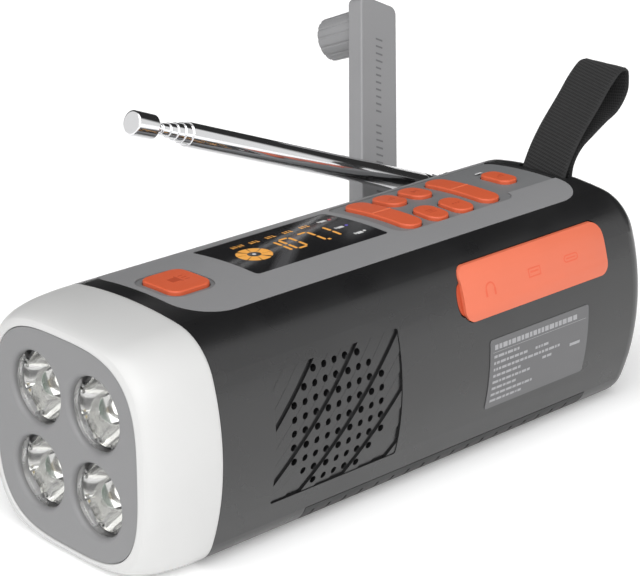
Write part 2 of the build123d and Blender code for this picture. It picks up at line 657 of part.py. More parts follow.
def gear(teeth, turn, x, z, y0, y1, bore):
    """A spur gear on an axis along Y. Angles run from +X towards +Z."""
    with BuildPart() as p:
        with BuildSketch(Plane(origin=(x, y0, z), x_dir=(1, 0, 0), z_dir=(0, -1, 0))):
            with BuildLine():
                Polyline(*gear_sketch(teeth, turn), close=True)
            make_face()
            if bore:
                Circle(bore, mode=Mode.SUBTRACT)
        extrude(amount=-(y1 - y0))
    return p.part


# tooth phases: a tooth of one wheel meets a gap of the next on the line of centres
a1 = math.atan2(IDLE_Z - CRANK_Z, IDLE_X - CRANK_X)
a2 = math.atan2(MOTOR_Z - IDLE_Z, MOTOR_X - IDLE_X)
ph_crank = a1
ph_idle_p = a1 + math.pi + math.pi / T_IDLE_P
ph_idle_g = a2
ph_motor = a2 + math.pi + math.pi / T_MOTOR

with BuildPart() as crank_gear:
    add(gear(T_CRANK, ph_crank, CRANK_X, CRANK_Z, 20.2, 23.6, 2.53))
    add(drum(CRANK_X, CRANK_Z, 23.6, 24.6, 6.0, 2.5))
save(crank_gear.part, "crank_gear")

with BuildPart() as idler_gear:
    add(gear(T_IDLE_P, ph_idle_p, IDLE_X, IDLE_Z, 19.2, 24.0, 1.56))
    add(gear(T_IDLE_G, ph_idle_g, IDLE_X, IDLE_Z, 15.6, 19.2, 1.56))
save(idler_gear.part, "idler_gear")

with BuildPart() as motor_pinion:
    add(gear(T_MOTOR, ph_motor, MOTOR_X, MOTOR_Z, 14.4, 19.8, 1.03))
save(motor_pinion.part, "motor_pinion")

with BuildPart() as motor_shaft:
    add(drum(MOTOR_X, MOTOR_Z, -3.2, 20.4, 1.0))
save(motor_shaft.part, "motor_shaft")

with BuildPart() as generator_motor:
    with BuildSketch(on_y(MOTOR_X, MOTOR_Z, -4.4)):
        Circle(11.6)
    extrude(amount=15.8)
    fillet(generator_motor.edges().filter_by(GeomType.CIRCLE), 1.0)
    add(drum(MOTOR_X, MOTOR_Z, 11.4, 12.6, 4.0))
    add(drum(MOTOR_X, MOTOR_Z, -3.4, 13.0, 1.05), mode=Mode.SUBTRACT)
save(generator_motor.part, "generator_motor")

with BuildPart() as gear_plate:
    with BuildSketch(on_y(0, 0, 12.7)):
        # local x is Z, local y is X
        with Locations((29.0, 26.0)):
            RectangleRounded(25.0, 66.0, 4.0)
        with Locations((MOTOR_Z, MOTOR_X)):
            Circle(4.1, mode=Mode.SUBTRACT)
        with Locations((IDLE_Z, IDLE_X)):
            Circle(1.5, mode=Mode.SUBTRACT)
        with Locations((CRANK_Z, CRANK_X)):
            Circle(2.56, mode=Mode.SUBTRACT)
    extrude(amount=1.6)
save(gear_plate.part, "gear_plate")

with BuildPart() as idler_axle:
    add(drum(IDLE_X, IDLE_Z, 12.7, 25.2, 1.5))
save(idler_axle.part, "idler_axle")

# ---------------------------------------------------------------- crank
with BuildPart() as crank_bush:
    add(drum(CRANK_X, CRANK_Z, 24.9, 27.5, 3.95, 2.56))
    add(drum(CRANK_X, CRANK_Z, 24.7, 24.98, 5.6, 2.56))
save(crank_bush.part, "crank_bush")

with BuildPart() as crank_shaft:
    add(drum(CRANK_X, CRANK_Z, 12.2, 29.6, 2.5))
save(crank_shaft.part, "crank_shaft")

# directions of the opened arm: along it, along its fold pin, and along its knob
A_DIR = Vector(math.cos(LEAN) * math.sin(TILT), math.sin(LEAN), math.cos(LEAN) * math.cos(TILT))
W_DIR = Vector(math.cos(TILT), 0, -math.sin(TILT))
K_DIR = A_DIR.cross(W_DIR)          # towards the knob side
if K_DIR.Y < 0:
    K_DIR = K_DIR * -1
HUB_C = Vector(CRANK_X, HINGE_Y, CRANK_Z)
RAD = Vector(math.sin(TILT), 0, math.cos(TILT))   # the arm's direction seen along Y

with BuildPart() as crank_hub:
    with BuildSketch(on_y(CRANK_X, CRANK_Z, 28.0)):
        Circle(12.0)
    extrude(amount=3.9)
    fillet(crank_hub.edges().sort_by(Axis.Y)[-1], 0.8)
    # two ears that carry the fold pin
    for side in (-1, 1):
        base = HUB_C + W_DIR * (side * (ARM_W / 2 + 1.6))
        with BuildSketch(Plane(origin=(base.X, 31.0, base.Z), x_dir=(RAD.X, 0, RAD.Z), z_dir=(0, 1, 0))):
            Rectangle(6.6, 2.2)
        extrude(amount=HINGE_Y - 31.0)
        with BuildSketch(Plane(origin=base - W_DIR * 1.1, x_dir=(0, 1, 0), z_dir=W_DIR)):
            Circle(3.3)
        extrude(amount=2.2)
    with BuildSketch(Plane(origin=HUB_C - W_DIR * 14, x_dir=(0, 1, 0), z_dir=W_DIR)):
        Circle(1.25)
    extrude(amount=28, mode=Mode.SUBTRACT)
    add(drum(CRANK_X, CRANK_Z, 27, 29.6, 2.5), mode=Mode.SUBTRACT)
save(crank_hub.part, "crank_hub")

with BuildPart() as fold_pin:
    with BuildSketch(Plane(origin=HUB_C - W_DIR * 10.6, x_dir=(0, 1, 0), z_dir=W_DIR)):
        Circle(1.2)
    extrude(amount=21.2)
save(fold_pin.part, "fold_pin")

ARM_PLANE = Plane(origin=HUB_C - K_DIR * (ARM_T / 2), x_dir=A_DIR, z_dir=K_DIR)
with BuildPart() as crank_arm:
    with BuildSketch(ARM_PLANE):
        with Locations((ARM_LEN / 2 + 1.6, 0)):
            RectangleRounded(ARM_LEN - 3.2, ARM_W, 2.2)
    extrude(amount=ARM_T)
    fillet(crank_arm.edges().filter_by(lambda e: abs((e @ 0.5 - HUB_C).dot(K_DIR)) > ARM_T / 2 - 0.01), 0.5)
    # round eye on the fold pin
    with BuildSketch(Plane(origin=HUB_C - W_DIR * (ARM_W / 2), x_dir=A_DIR, z_dir=W_DIR)):
        Circle(ARM_T / 2)
    extrude(amount=ARM_W)
    with BuildSketch(Plane(origin=HUB_C - W_DIR * (ARM_W / 2), x_dir=A_DIR, z_dir=W_DIR)):
        with Locations((2.4, 0)):
            Rectangle(4.8, ARM_T)
    extrude(amount=ARM_W)
    with BuildSketch(Plane(origin=HUB_C - W_DIR * 14, x_dir=(0, 1, 0), z_dir=W_DIR)):
        Circle(1.26)
    extrude(amount=28, mode=Mode.SUBTRACT)
    # knob spindle
    with BuildSketch(Plane(origin=HUB_C + A_DIR * KNOB_S + K_DIR * (ARM_T / 2 - 0.5), x_dir=A_DIR, z_dir=K_DIR)):
        Circle(2.0)
    extrude(amount=KNOB_L - 3.5)
save(crank_arm.part, "crank_arm")

with BuildPart() as crank_knob:
    with BuildSketch(Plane(origin=HUB_C + A_DIR * KNOB_S + K_DIR * (ARM_T / 2 + 0.25), x_dir=A_DIR, z_dir=K_DIR)):
        Circle(KNOB_R)
        with PolarLocations(KNOB_R + 0.22, 14):
            Circle(0.42, mode=Mode.SUBTRACT)
    extrude(amount=KNOB_L - 0.25, taper=1.2)
    with BuildSketch(Plane(origin=HUB_C + A_DIR * KNOB_S + K_DIR * (ARM_T / 2), x_dir=A_DIR, z_dir=K_DIR)):
        Circle(2.06)
    extrude(amount=KNOB_L - 3.6, mode=Mode.SUBTRACT)
save(crank_knob.part, "crank_knob")

# ---------------------------------------------------------------- antenna
U = Vector(-math.cos(ANT_UP), 0, math.sin(ANT_UP))       # along the rod
V = Vector(math.sin(ANT_UP), 0, math.cos(ANT_UP))        # along the tilt pin
PIV = Vector(ANT_X, ANT_Y, ANT_Z)


def rod_plane(s):
    return Plane(origin=PIV + U * s, x_dir=(0, 1, 0), z_dir=U)


with BuildPart() as antenna_base:
    add(drum(ANT_X, ANT_Z, 21.4, 29.6, 2.05))
    add(drum(ANT_X, ANT_Z, 29.5, 31.0, 5.0))
    for side in (-1, 1):
        c = PIV + V * (side * 2.55)
        with BuildSketch(Plane(origin=(c.X, 30.9, c.Z), x_dir=(U.X, 0, U.Z), z_dir=(0, 1, 0))):
            Rectangle(5.6, 1.5)
        extrude(amount=ANT_Y - 30.9)
        with BuildSketch(Plane(origin=c - V * 0.75, x_dir=(0, 1, 0), z_dir=V)):
            Circle(2.8)
        extrude(amount=1.5)
    with BuildSketch(Plane(origin=PIV - V * 5, x_dir=(0, 1, 0), z_dir=V)):
        Circle(0.85)
    extrude(amount=10, mode=Mode.SUBTRACT)
save(antenna_base.part, "antenna_base")

with BuildPart() as antenna_pin:
    with BuildSketch(Plane(origin=PIV - V * 3.6, x_dir=(0, 1, 0), z_dir=V)):
        Circle(0.8)
    extrude(amount=7.2)
save(antenna_pin.part, "antenna_pin")

with BuildPart() as antenna_knuckle:
    with BuildSketch(Plane(origin=PIV - V * 1.65, x_dir=(0, 1, 0), z_dir=V)):
        Circle(2.4)
    extrude(amount=3.3)
    with BuildSketch(Plane(origin=PIV - V * 1.65, x_dir=U, z_dir=V)):
        with Locations((3.0, 0)):
            Rectangle(6.0, 4.8)
    extrude(amount=3.3)
    with BuildSketch(rod_plane(5.2)):
        Circle(3.15)
    extrude(amount=2.4)
    with BuildSketch(Plane(origin=PIV - V * 5, x_dir=(0, 1, 0), z_dir=V)):
        Circle(0.86)
    extrude(amount=10, mode=Mode.SUBTRACT)
save(antenna_knuckle.part, "antenna_knuckle")

# the sections: each one stands out of the last by one short step when pushed in
TIP_CAP, NECK, STEP = 7.0, 2.6, 2.2
ends = [ANT_LEN - TIP_CAP - NECK - STEP * (4 - k) for k in range(5)]
for k in range(5):
    r = TUBE_OD[k] / 2
    start = 7.6 if k == 0 else 9.0 + 1.0 * k
    with BuildPart() as tube:
        with BuildSketch(rod_plane(start)):
            Circle(r)
        extrude(amount=ends[k] - start)
        with BuildSketch(rod_plane(start + (1.0 if k == 0 else 0.0) - (0 if k == 0 else 0.5))):
            Circle(r - TUBE_WALL)
        extrude(amount=ANT_LEN, mode=Mode.SUBTRACT)
    save(tube.part, f"antenna_tube_{k + 1}")

with BuildPart() as antenna_tip:
    with BuildSketch(rod_plane(15.0)):
        Circle(TUBE_OD[5] / 2)
    extrude(amount=ANT_LEN - TIP_CAP - 15.0 + 0.5)
    with BuildSketch(rod_plane(ANT_LEN - TIP_CAP)):
        Circle(3.15)
    extrude(amount=TIP_CAP)
    fillet(antenna_tip.edges().filter_by(GeomType.CIRCLE).filter_by(lambda e: abs(e.radius - 3.15) < 0.01), 0.5)
save(antenna_tip.part, "antenna_tip")

# ---------------------------------------------------------------- strap
loop_mid = [(79.6, 50.6), (77.95, 52.6), (78.1, 57.0), (80.3, 62.0), (84.4, 67.8), (91.6, 75.4), (96.3, 80.5),
            (100.4, 83.4), (102.7, 83.2), (103.4, 80.4), (103.1, 77.2), (99.7, 72.8), (94.6, 70.3), (89.8, 67.8),
            (84.8, 64.9), (81.9, 61.2), (81.1, 57.0), (81.25, 52.6)]
STRAP_T, STRAP_W = 1.1, 15.0


def shifted(points, d):
    out = []
    n = len(points)
    for i in range(n):
        p, q = points[(i - 1) % n], points[(i + 1) % n]
        tx, tz = q[0] - p[0], q[1] - p[1]
        length = math.hypot(tx, tz)
        out.append((points[i][0] - tz / length * d, points[i][1] + tx / length * d))
    return out


with BuildPart() as strap:
    with BuildSketch(Plane(origin=(0, STRAP_W / 2, 0), x_dir=(1, 0, 0), z_dir=(0, -1, 0))):
        with BuildLine():
            Spline(*shifted(loop_mid, STRAP_T / 2), periodic=True)
        make_face()
        with BuildLine():
            Spline(*shifted(loop_mid, -STRAP_T / 2), periodic=True)
        make_face(mode=Mode.SUBTRACT)
    extrude(amount=STRAP_W)
save(strap.part, "strap")

with BuildPart() as strap_bar:
    with BuildSketch(on_y(79.6, 52.75, -9.6)):
        Circle(1.0)
    extrude(amount=19.2)
save(strap_bar.part, "strap_bar")

# ---------------------------------------------------------------- fasteners
with BuildPart() as housing_screws:
    for sx, sz in SCREWS:
        add(drum(sx, sz, -12.0, 26.7, 1.0))
        add(drum(sx, sz, 26.7, 28.4, 2.3))
        with BuildSketch(on_y(sx, sz, 27.4)):
            Rectangle(2.6, 0.6)
            Rectangle(0.6, 2.6)
        extrude(amount=2, mode=Mode.SUBTRACT)
save(housing_screws.part, "housing_screws")

with BuildPart() as board_screws:
    for sx, sy in ((-54, 14), (-54, -14), (66, 14), (66, -14)):
        with BuildSketch(Plane.XY.offset(BOARD_TOP)):
            with Locations((sx, sy)):
                Circle(2.4)
        extrude(amount=1.2)
        with BuildSketch(Plane.XY.offset(BOARD_TOP)):
            with Locations((sx, sy)):
                Circle(1.4)
        extrude(amount=-6)
save(board_screws.part, "board_screws")
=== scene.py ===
import math
import random

import bpy
from mathutils import Matrix, Vector


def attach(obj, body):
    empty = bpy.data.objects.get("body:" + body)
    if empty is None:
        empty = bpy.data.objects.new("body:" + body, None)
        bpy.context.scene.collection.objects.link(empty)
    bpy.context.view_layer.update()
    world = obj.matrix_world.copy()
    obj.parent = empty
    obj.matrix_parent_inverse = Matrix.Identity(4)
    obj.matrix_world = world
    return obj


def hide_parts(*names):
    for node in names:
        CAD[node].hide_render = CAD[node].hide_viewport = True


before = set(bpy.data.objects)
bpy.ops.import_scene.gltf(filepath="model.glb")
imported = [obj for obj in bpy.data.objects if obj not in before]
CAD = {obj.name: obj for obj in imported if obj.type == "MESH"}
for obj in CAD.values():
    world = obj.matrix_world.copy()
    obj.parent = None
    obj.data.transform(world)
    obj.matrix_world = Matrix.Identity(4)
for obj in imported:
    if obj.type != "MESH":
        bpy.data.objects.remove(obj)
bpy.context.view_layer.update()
MM = 0.001
random.seed(7)

# ------------------------------------------------------------------ the case's surfaces, in mm
HALF_W, Z_WAIST, HEIGHT, R_SIDE, R_TOP, R_CT, R_CB = 31.87, 28.3, 58.5, 62.0, 125.0, 14.0, 9.5
X_PLATE, X_SEAM = -84.9, -64.9
SIDE_C = R_SIDE - HALF_W          # the side arc's centre is at y = +-SIDE_C
TOP_C = HEIGHT - R_TOP


def near(x, z, d=0.0):
    """A point on the speaker side at (x, z), d above the wall."""
    return (x, SIDE_C - math.sqrt((R_SIDE + d) ** 2 - (z - Z_WAIST) ** 2), z)


def top(x, y, d=0.0):
    """A point on the top at (x, y), d above it."""
    return (x, y, TOP_C + math.sqrt((R_TOP + d) ** 2 - y * y))


def unit(a):
    n = math.hypot(*a)
    return tuple(v / n for v in a)


def meet(c1, r1, c2, r2):
    dx, dy = c2[0] - c1[0], c2[1] - c1[1]
    d = math.hypot(dx, dy)
    a = (r1 * r1 - r2 * r2 + d * d) / (2 * d)
    h = math.sqrt(max(r1 * r1 - a * a, 0))
    p = (c1[0] + a * dx / d, c1[1] + a * dy / d)
    return max([(p[0] + h * dy / d, p[1] - h * dx / d), (p[0] - h * dy / d, p[1] + h * dx / d)])


S_C, T_C = (-SIDE_C, Z_WAIST), (0.0, TOP_C)
Q_T = meet(S_C, R_SIDE - R_CT, T_C, R_TOP - R_CT)
Q_B = (S_C[0] + math.sqrt((R_SIDE - R_CB) ** 2 - (R_CB - Z_WAIST) ** 2), R_CB)
CORNERS = [
    (Q_T, R_CT, unit((Q_T[0] - S_C[0], Q_T[1] - S_C[1])), unit((Q_T[0] - T_C[0], Q_T[1] - T_C[1]))),
    (Q_B, R_CB, unit((Q_B[0] - S_C[0], Q_B[1] - S_C[1])), (0.0, -1.0)),
]


def inside(y, z):
    y = abs(y)
    if z < 0 or math.hypot(y - S_C[0], z - S_C[1]) > R_SIDE or math.hypot(y, z - TOP_C) > R_TOP:
        return False
    for q, r, e1, e2 in CORNERS:
        a, b = y - q[0], z - q[1]
        det = e1[0] * e2[1] - e1[1] * e2[0]
        k1, k2 = (a * e2[1] - b * e2[0]) / det, (e1[0] * b - e1[1] * a) / det
        if k1 > 0 and k2 > 0 and math.hypot(a, b) > r:
            return False
    return True


def ray_to_section(c, s):
    a, b = 0.0, 60.0
    for _ in range(40):
        m = (a + b) / 2
        if inside(m * c, Z_WAIST + m * s):
            a = m
        else:
            b = m
    return a


# ------------------------------------------------------------------ mesh helper
class Build:
    def __init__(self):
        self.v, self.f = [], []

    def add(self, pts):
        k = len(self.v)
        self.v += [tuple(p) for p in pts]
        return k

    def prism(self, fn, pts, d0, d1):
        """A plate with the outline pts, laid on the surface fn from height d0 to d1."""
        area = sum(a[0] * b[1] - b[0] * a[1] for a, b in zip(pts, pts[1:] + pts[:1]))
        if area < 0:
            pts = pts[::-1]
        n = len(pts)
        a = self.add([fn(x, y, d0) for x, y in pts])
        b = self.add([fn(x, y, d1) for x, y in pts])
        self.f.append([a + i for i in range(n)][::-1])
        self.f.append([b + i for i in range(n)])
        for i in range(n):
            j = (i + 1) % n
            self.f.append([a + i, a + j, b + j, b + i])

    def bar(self, fn, x0, x1, y0, y1, d0, d1):
        self.prism(fn, [(x0, y0), (x1, y0), (x1, y1), (x0, y1)], d0, d1)

    def grid(self, rows, closed_rows=True, closed_cols=False):
        """Quads between successive rows of points."""
        n = len(rows[0])
        base = [self.add(r) for r in rows]
        m = len(rows)
        for i in range(m if closed_cols else m - 1):
            p, q = base[i], base[(i + 1) % m]
            for j in range(n if closed_rows else n - 1):
                k = (j + 1) % n
                self.f.append([p + j, p + k, q + k, q + j])

    def turned(self, profile, origin, count=64, mod=None):
        """A turned part on an axis along X; profile is (x, radius), from axis to axis."""
        rings, ends = [], []
        for x, r in profile:
            if r < 1e-6:
                ends.append((len(rings), self.add([(x, origin[0], origin[1])])))
                continue
            ring = []
            for k in range(count):
                a = 2 * math.pi * k / count
                q = r * (mod(a, x, r) if mod else 1.0)
                ring.append((x, origin[0] + q * math.cos(a), origin[1] + q * math.sin(a)))
            rings.append(self.add(ring))
        for p, q in zip(rings, rings[1:]):
            for j in range(count):
                k = (j + 1) % count
                self.f.append([p + j, p + k, q + k, q + j])
        for at, tip in ends:
            ring = rings[0] if at == 0 else rings[-1]
            for j in range(count):
                k = (j + 1) % count
                self.f.append([tip, ring + k, ring + j] if at == 0 else [tip, ring + j, ring + k])
        if not ends:
            p, q = rings[-1], rings[0]
            for j in range(count):
                k = (j + 1) % count
                self.f.append([p + j, p + k, q + k, q + j])

    def obj(self, name, mat, body, slot=None, angle=35.0, flat=False):
        me = bpy.data.meshes.new(name)
        me.from_pydata([tuple(c * MM for c in p) for p in self.v], [], self.f)
        me.validate()
        import bmesh

        bm = bmesh.new()
        bm.from_mesh(me)
        bmesh.ops.recalc_face_normals(bm, faces=bm.faces)
        bm.to_mesh(me)
        bm.free()
        o = bpy.data.objects.new(name, me)
        bpy.context.scene.collection.objects.link(o)
        if not flat:
            me.polygons.foreach_set("use_smooth", [True] * len(me.polygons))
            me.set_sharp_from_angle(angle=math.radians(angle))
        me.materials.append(mat)
        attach(o, body)
        return o


# ------------------------------------------------------------------ materials
def nodes_of(m):
    m.use_nodes = True
    t = m.node_tree
    return t, t.nodes["Principled BSDF"], t.links


def finish_mat(
    name, base, rough, metal=0.0, spec=0.5, fleck=0.06, fleck_scale=60.0, grain=900.0, bump=0.08, rough_var=0.06,
    coat=0.0, trans=0.0, ior=1.5, sheen=0.0, emit=None,
):
    """A plain finish: faint mottling of the colour, uneven gloss and a fine grain."""
    m = bpy.data.materials.new(name)
    t, b, L = nodes_of(m)
    co = t.nodes.new("ShaderNodeTexCoord")
    n1 = t.nodes.new("ShaderNodeTexNoise")
    n1.inputs["Scale"].default_value = fleck_scale
    n1.inputs["Detail"].default_value = 3.0
    L.new(co.outputs["Object"], n1.inputs["Vector"])
    if fleck > 0:
        ramp = t.nodes.new("ShaderNodeValToRGB")
        ramp.color_ramp.elements[0].position = 0.3
        ramp.color_ramp.elements[1].position = 0.7
        ramp.color_ramp.elements[0].color = (*[c * (1 - fleck) for c in base], 1)
        ramp.color_ramp.elements[1].color = (*[min(c * (1 + fleck), 1) for c in base], 1)
        L.new(n1.outputs["Fac"], ramp.inputs["Fac"])
        L.new(ramp.outputs["Color"], b.inputs["Base Color"])
    else:
        b.inputs["Base Color"].default_value = (*base, 1)
    mr = t.nodes.new("ShaderNodeMapRange")
    mr.inputs["From Min"].default_value, mr.inputs["From Max"].default_value = 0.3, 0.7
    mr.inputs["To Min"].default_value = max(rough - rough_var, 0.0)
    mr.inputs["To Max"].default_value = min(rough + rough_var, 1.0)
    L.new(n1.outputs["Fac"], mr.inputs["Value"])
    L.new(mr.outputs["Result"], b.inputs["Roughness"])
    if bump > 0:
        n2 = t.nodes.new("ShaderNodeTexNoise")
        n2.inputs["Scale"].default_value = grain
        n2.inputs["Detail"].default_value = 2.0
        L.new(co.outputs["Object"], n2.inputs["Vector"])
        bp = t.nodes.new("ShaderNodeBump")
        bp.inputs["Strength"].default_value = bump
        bp.inputs["Distance"].default_value = 0.00008
        L.new(n2.outputs["Fac"], bp.inputs["Height"])
        L.new(bp.outputs["Normal"], b.inputs["Normal"])
    b.inputs["Metallic"].default_value = metal
    b.inputs["Specular IOR Level"].default_value = spec
    b.inputs["IOR"].default_value = ior
    b.inputs["Coat Weight"].default_value = coat
    b.inputs["Coat Roughness"].default_value = 0.06
    b.inputs["Transmission Weight"].default_value = trans
    b.inputs["Sheen Weight"].default_value = sheen
    if emit:
        b.inputs["Emission Color"].default_value = (*emit[0], 1)
        b.inputs["Emission Strength"].default_value = emit[1]
    return m


M = {}
M["case_black"] = finish_mat("case_black", (0.009, 0.009, 0.0095), 0.3, spec=0.8, grain=2600, bump=0.06)
M["pad_black"] = finish_mat("pad_black", (0.010, 0.010, 0.0105), 0.55, spec=0.6, grain=2200, bump=0.2)
M["bezel_white"] = finish_mat("bezel_white", (0.53, 0.53, 0.525), 0.36, fleck=0.01, grain=1800, bump=0.02)
M["plate_grey"] = finish_mat("plate_grey", (0.20, 0.20, 0.203), 0.5, fleck=0.02, grain=2600, bump=0.06)
M["key_orange"] = finish_mat("key_orange", (0.58, 0.098, 0.036), 0.5, fleck=0.03, grain=2400, bump=0.06)
# lighter copy of the key orange: a painted highlight along the rocker ribs
M["rib_painted_highlight"] = finish_mat("rib_painted_highlight", (0.72, 0.19, 0.09), 0.5, fleck=0.02, grain=2400, bump=0.04)
# darker orange for the key marks, also used as painted shade on the port cover's tab
M["mark_and_shade_orange"] = finish_mat("mark_and_shade_orange", (0.42, 0.06, 0.02), 0.55, fleck=0.02, grain=2400, bump=0.04)
M["cover_orange"] = finish_mat("cover_orange", (0.62, 0.140, 0.072), 0.5, fleck=0.02, grain=2400, bump=0.05)
M["cover_mark"] = finish_mat("cover_mark", (0.62, 0.10, 0.045), 0.6, fleck=0.02, grain=2400, bump=0.04)
M["label_grey"] = finish_mat("label_grey", (0.115, 0.115, 0.118), 0.5, fleck=0.02, grain=2600, bump=0.04)
M["label_ink"] = finish_mat("label_ink", (0.30, 0.30, 0.31), 0.5, fleck=0.03, grain=2600, bump=0.02)
M["crank_grey"] = finish_mat("crank_grey", (0.225, 0.225, 0.23), 0.5, fleck=0.02, grain=2600, bump=0.07)
M["crank_mark"] = finish_mat("crank_mark", (0.12, 0.12, 0.125), 0.6, fleck=0.02, grain=2600, bump=0.04)
M["chrome"] = finish_mat("antenna_chrome", (0.86, 0.86, 0.87), 0.09, metal=1.0, fleck=0.01, rough_var=0.02, grain=700, bump=0.01)
M["mirror"] = finish_mat("reflector_chrome", (0.64, 0.64, 0.63), 0.09, metal=1.0, fleck=0.01, rough_var=0.02, grain=500, bump=0.02)
M["socket_metal"] = finish_mat("socket_metal", (0.55, 0.55, 0.56), 0.28, metal=1.0, fleck=0.03)
M["socket_black"] = finish_mat("socket_black", (0.025, 0.025, 0.027), 0.5)
M["speaker_black"] = finish_mat("speaker_black", (0.03, 0.03, 0.032), 0.45)
M["cone_black"] = finish_mat("cone_black", (0.012, 0.012, 0.013), 0.85, fleck=0.1, grain=1200, bump=0.3)
M["magnet_steel"] = finish_mat("magnet_steel", (0.42, 0.42, 0.44), 0.35, metal=1.0)
M["cell_blue"] = finish_mat("cell_blue", (0.06, 0.17, 0.42), 0.35)
M["board_green"] = finish_mat("board_green", (0.02, 0.12, 0.05), 0.45, fleck=0.15, fleck_scale=400)
M["module_black"] = finish_mat("module_black", (0.02, 0.02, 0.022), 0.5)
M["gear_white"] = finish_mat("gear_white", (0.72, 0.71, 0.68), 0.45)
M["brass"] = finish_mat("bush_brass", (0.62, 0.43, 0.18), 0.3, metal=1.0)
M["led_yellow"] = finish_mat("led_yellow", (0.80, 0.66, 0.36), 0.4, emit=((0.9, 0.75, 0.4), 0.05))
M["amber"] = finish_mat("display_amber", (0.72, 0.33, 0.06), 0.45, fleck=0.04, emit=((0.9, 0.42, 0.07), 0.12))
M["mark_white"] = finish_mat("mark_white", (0.62, 0.62, 0.62), 0.4, fleck=0.03)
M["mark_red"] = finish_mat("mark_red", (0.55, 0.06, 0.09), 0.4, fleck=0.03)
M["mark_blue"] = finish_mat("mark_blue", (0.14, 0.11, 0.55), 0.4, fleck=0.03)


def panel_material():
    """Satin grey, with painted shade making the sunken floor round the keys darker."""
    m = finish_mat("panel_grey", (0.225, 0.225, 0.23), 0.5, fleck=0.015, grain=2600, bump=0.06)
    t, b, L = nodes_of(m)
    co = t.nodes["Texture Coordinate"]
    mp = t.nodes.new("ShaderNodeMapping")
    mp.inputs["Location"].default_value = (0, 0, -TOP_C * MM)
    mp.inputs["Scale"].default_value = (0, 1, 1)
    L.new(co.outputs["Object"], mp.inputs["Vector"])
    ln = t.nodes.new("ShaderNodeVectorMath")
    ln.operation = "LENGTH"
    L.new(mp.outputs["Vector"], ln.inputs[0])
    mr = t.nodes.new("ShaderNodeMapRange")
    mr.inputs["From Min"].default_value = (R_TOP - 0.3) * MM
    mr.inputs["From Max"].default_value = (R_TOP - 0.2) * MM
    L.new(ln.outputs["Value"], mr.inputs["Value"])
    # the darker stop is painted shade on the sunken floor round the keys
    ramp = t.nodes.new("ShaderNodeValToRGB")
    ramp.color_ramp.elements[0].color = (0.165, 0.168, 0.172, 1)
    ramp.color_ramp.elements[1].color = (0.225, 0.225, 0.23, 1)
    L.new(mr.outputs["Result"], ramp.inputs["Fac"])
    L.new(ramp.outputs["Color"], b.inputs["Base Color"])
    return m


M["panel_grey"] = panel_material()


def glass_material():
    """Glossy black window with a soft diagonal band of painted reflection across it."""
    m = finish_mat("display_glass", (0.010, 0.010, 0.011), 0.12, spec=0.5, fleck=0.0, bump=0.0, rough_var=0.02)
    t, b, L = nodes_of(m)
    co = t.nodes["Texture Coordinate"]
    mp = t.nodes.new("ShaderNodeMapping")
    mp.inputs["Rotation"].default_value = (0, 0, math.radians(52.4))
    mp.inputs["Location"].default_value = (0.00931, 0, 0)
    L.new(co.outputs["Object"], mp.inputs["Vector"])
    sp = t.nodes.new("ShaderNodeSeparateXYZ")
    L.new(mp.outputs["Vector"], sp.inputs[0])
    ramp = t.nodes.new("ShaderNodeValToRGB")
    e = ramp.color_ramp.elements
    e[0].position, e[0].color = 0.0, (0.010, 0.010, 0.011, 1)
    e[1].position, e[1].color = 1.0, (0.010, 0.010, 0.011, 1)
    # the brighter stops make the diagonal band of painted reflection
    for pos, c in ((0.28, 0.012), (0.42, 0.066), (0.56, 0.074), (0.74, 0.012)):
        k = e.new(pos)
        k.color = (c, c, c * 1.04, 1)
    mr = t.nodes.new("ShaderNodeMapRange")
    mr.inputs["From Min"].default_value, mr.inputs["From Max"].default_value = -0.006, 0.006
    L.new(sp.outputs["X"], mr.inputs["Value"])
    L.new(mr.outputs["Result"], ramp.inputs["Fac"])
    L.new(ramp.outputs["Color"], b.inputs["Base Color"])
    return m


M["display_glass"] = glass_material()


def clear_material(name, tint=(0.98, 0.98, 0.975)):
    """Thin clear plastic: mostly see-through, with a surface gloss."""
    m = bpy.data.materials.new(name)
    m.use_nodes = True
    t = m.node_tree
    t.nodes.remove(t.nodes["Principled BSDF"])
    L = t.links
    out = t.nodes["Material Output"]
    tr = t.nodes.new("ShaderNodeBsdfTransparent")
    tr.inputs["Color"].default_value = (*tint, 1)
    gl = t.nodes.new("ShaderNodeBsdfGlossy")
    gl.inputs["Roughness"].default_value = 0.03
    co = t.nodes.new("ShaderNodeTexCoord")
    n = t.nodes.new("ShaderNodeTexNoise")
    n.inputs["Scale"].default_value = 180
    L.new(co.outputs["Object"], n.inputs["Vector"])
    mr = t.nodes.new("ShaderNodeMapRange")
    mr.inputs["To Min"].default_value, mr.inputs["To Max"].default_value = 0.03, 0.08
    L.new(n.outputs["Fac"], mr.inputs["Value"])
    L.new(mr.outputs["Result"], gl.inputs["Roughness"])
    mx = t.nodes.new("ShaderNodeMixShader")
    mx.inputs["Fac"].default_value = 0.06
    L.new(tr.outputs[0], mx.inputs[1])
    L.new(gl.outputs[0], mx.inputs[2])
    L.new(mx.outputs[0], out.inputs["Surface"])
    return m


M["lens_clear"] = clear_material("lens_clear")
M["dome_glass"] = finish_mat("dome_glass", (0.98, 0.98, 0.97), 0.03, fleck=0.0, bump=0.0, rough_var=0.01, trans=1.0, ior=1.42)


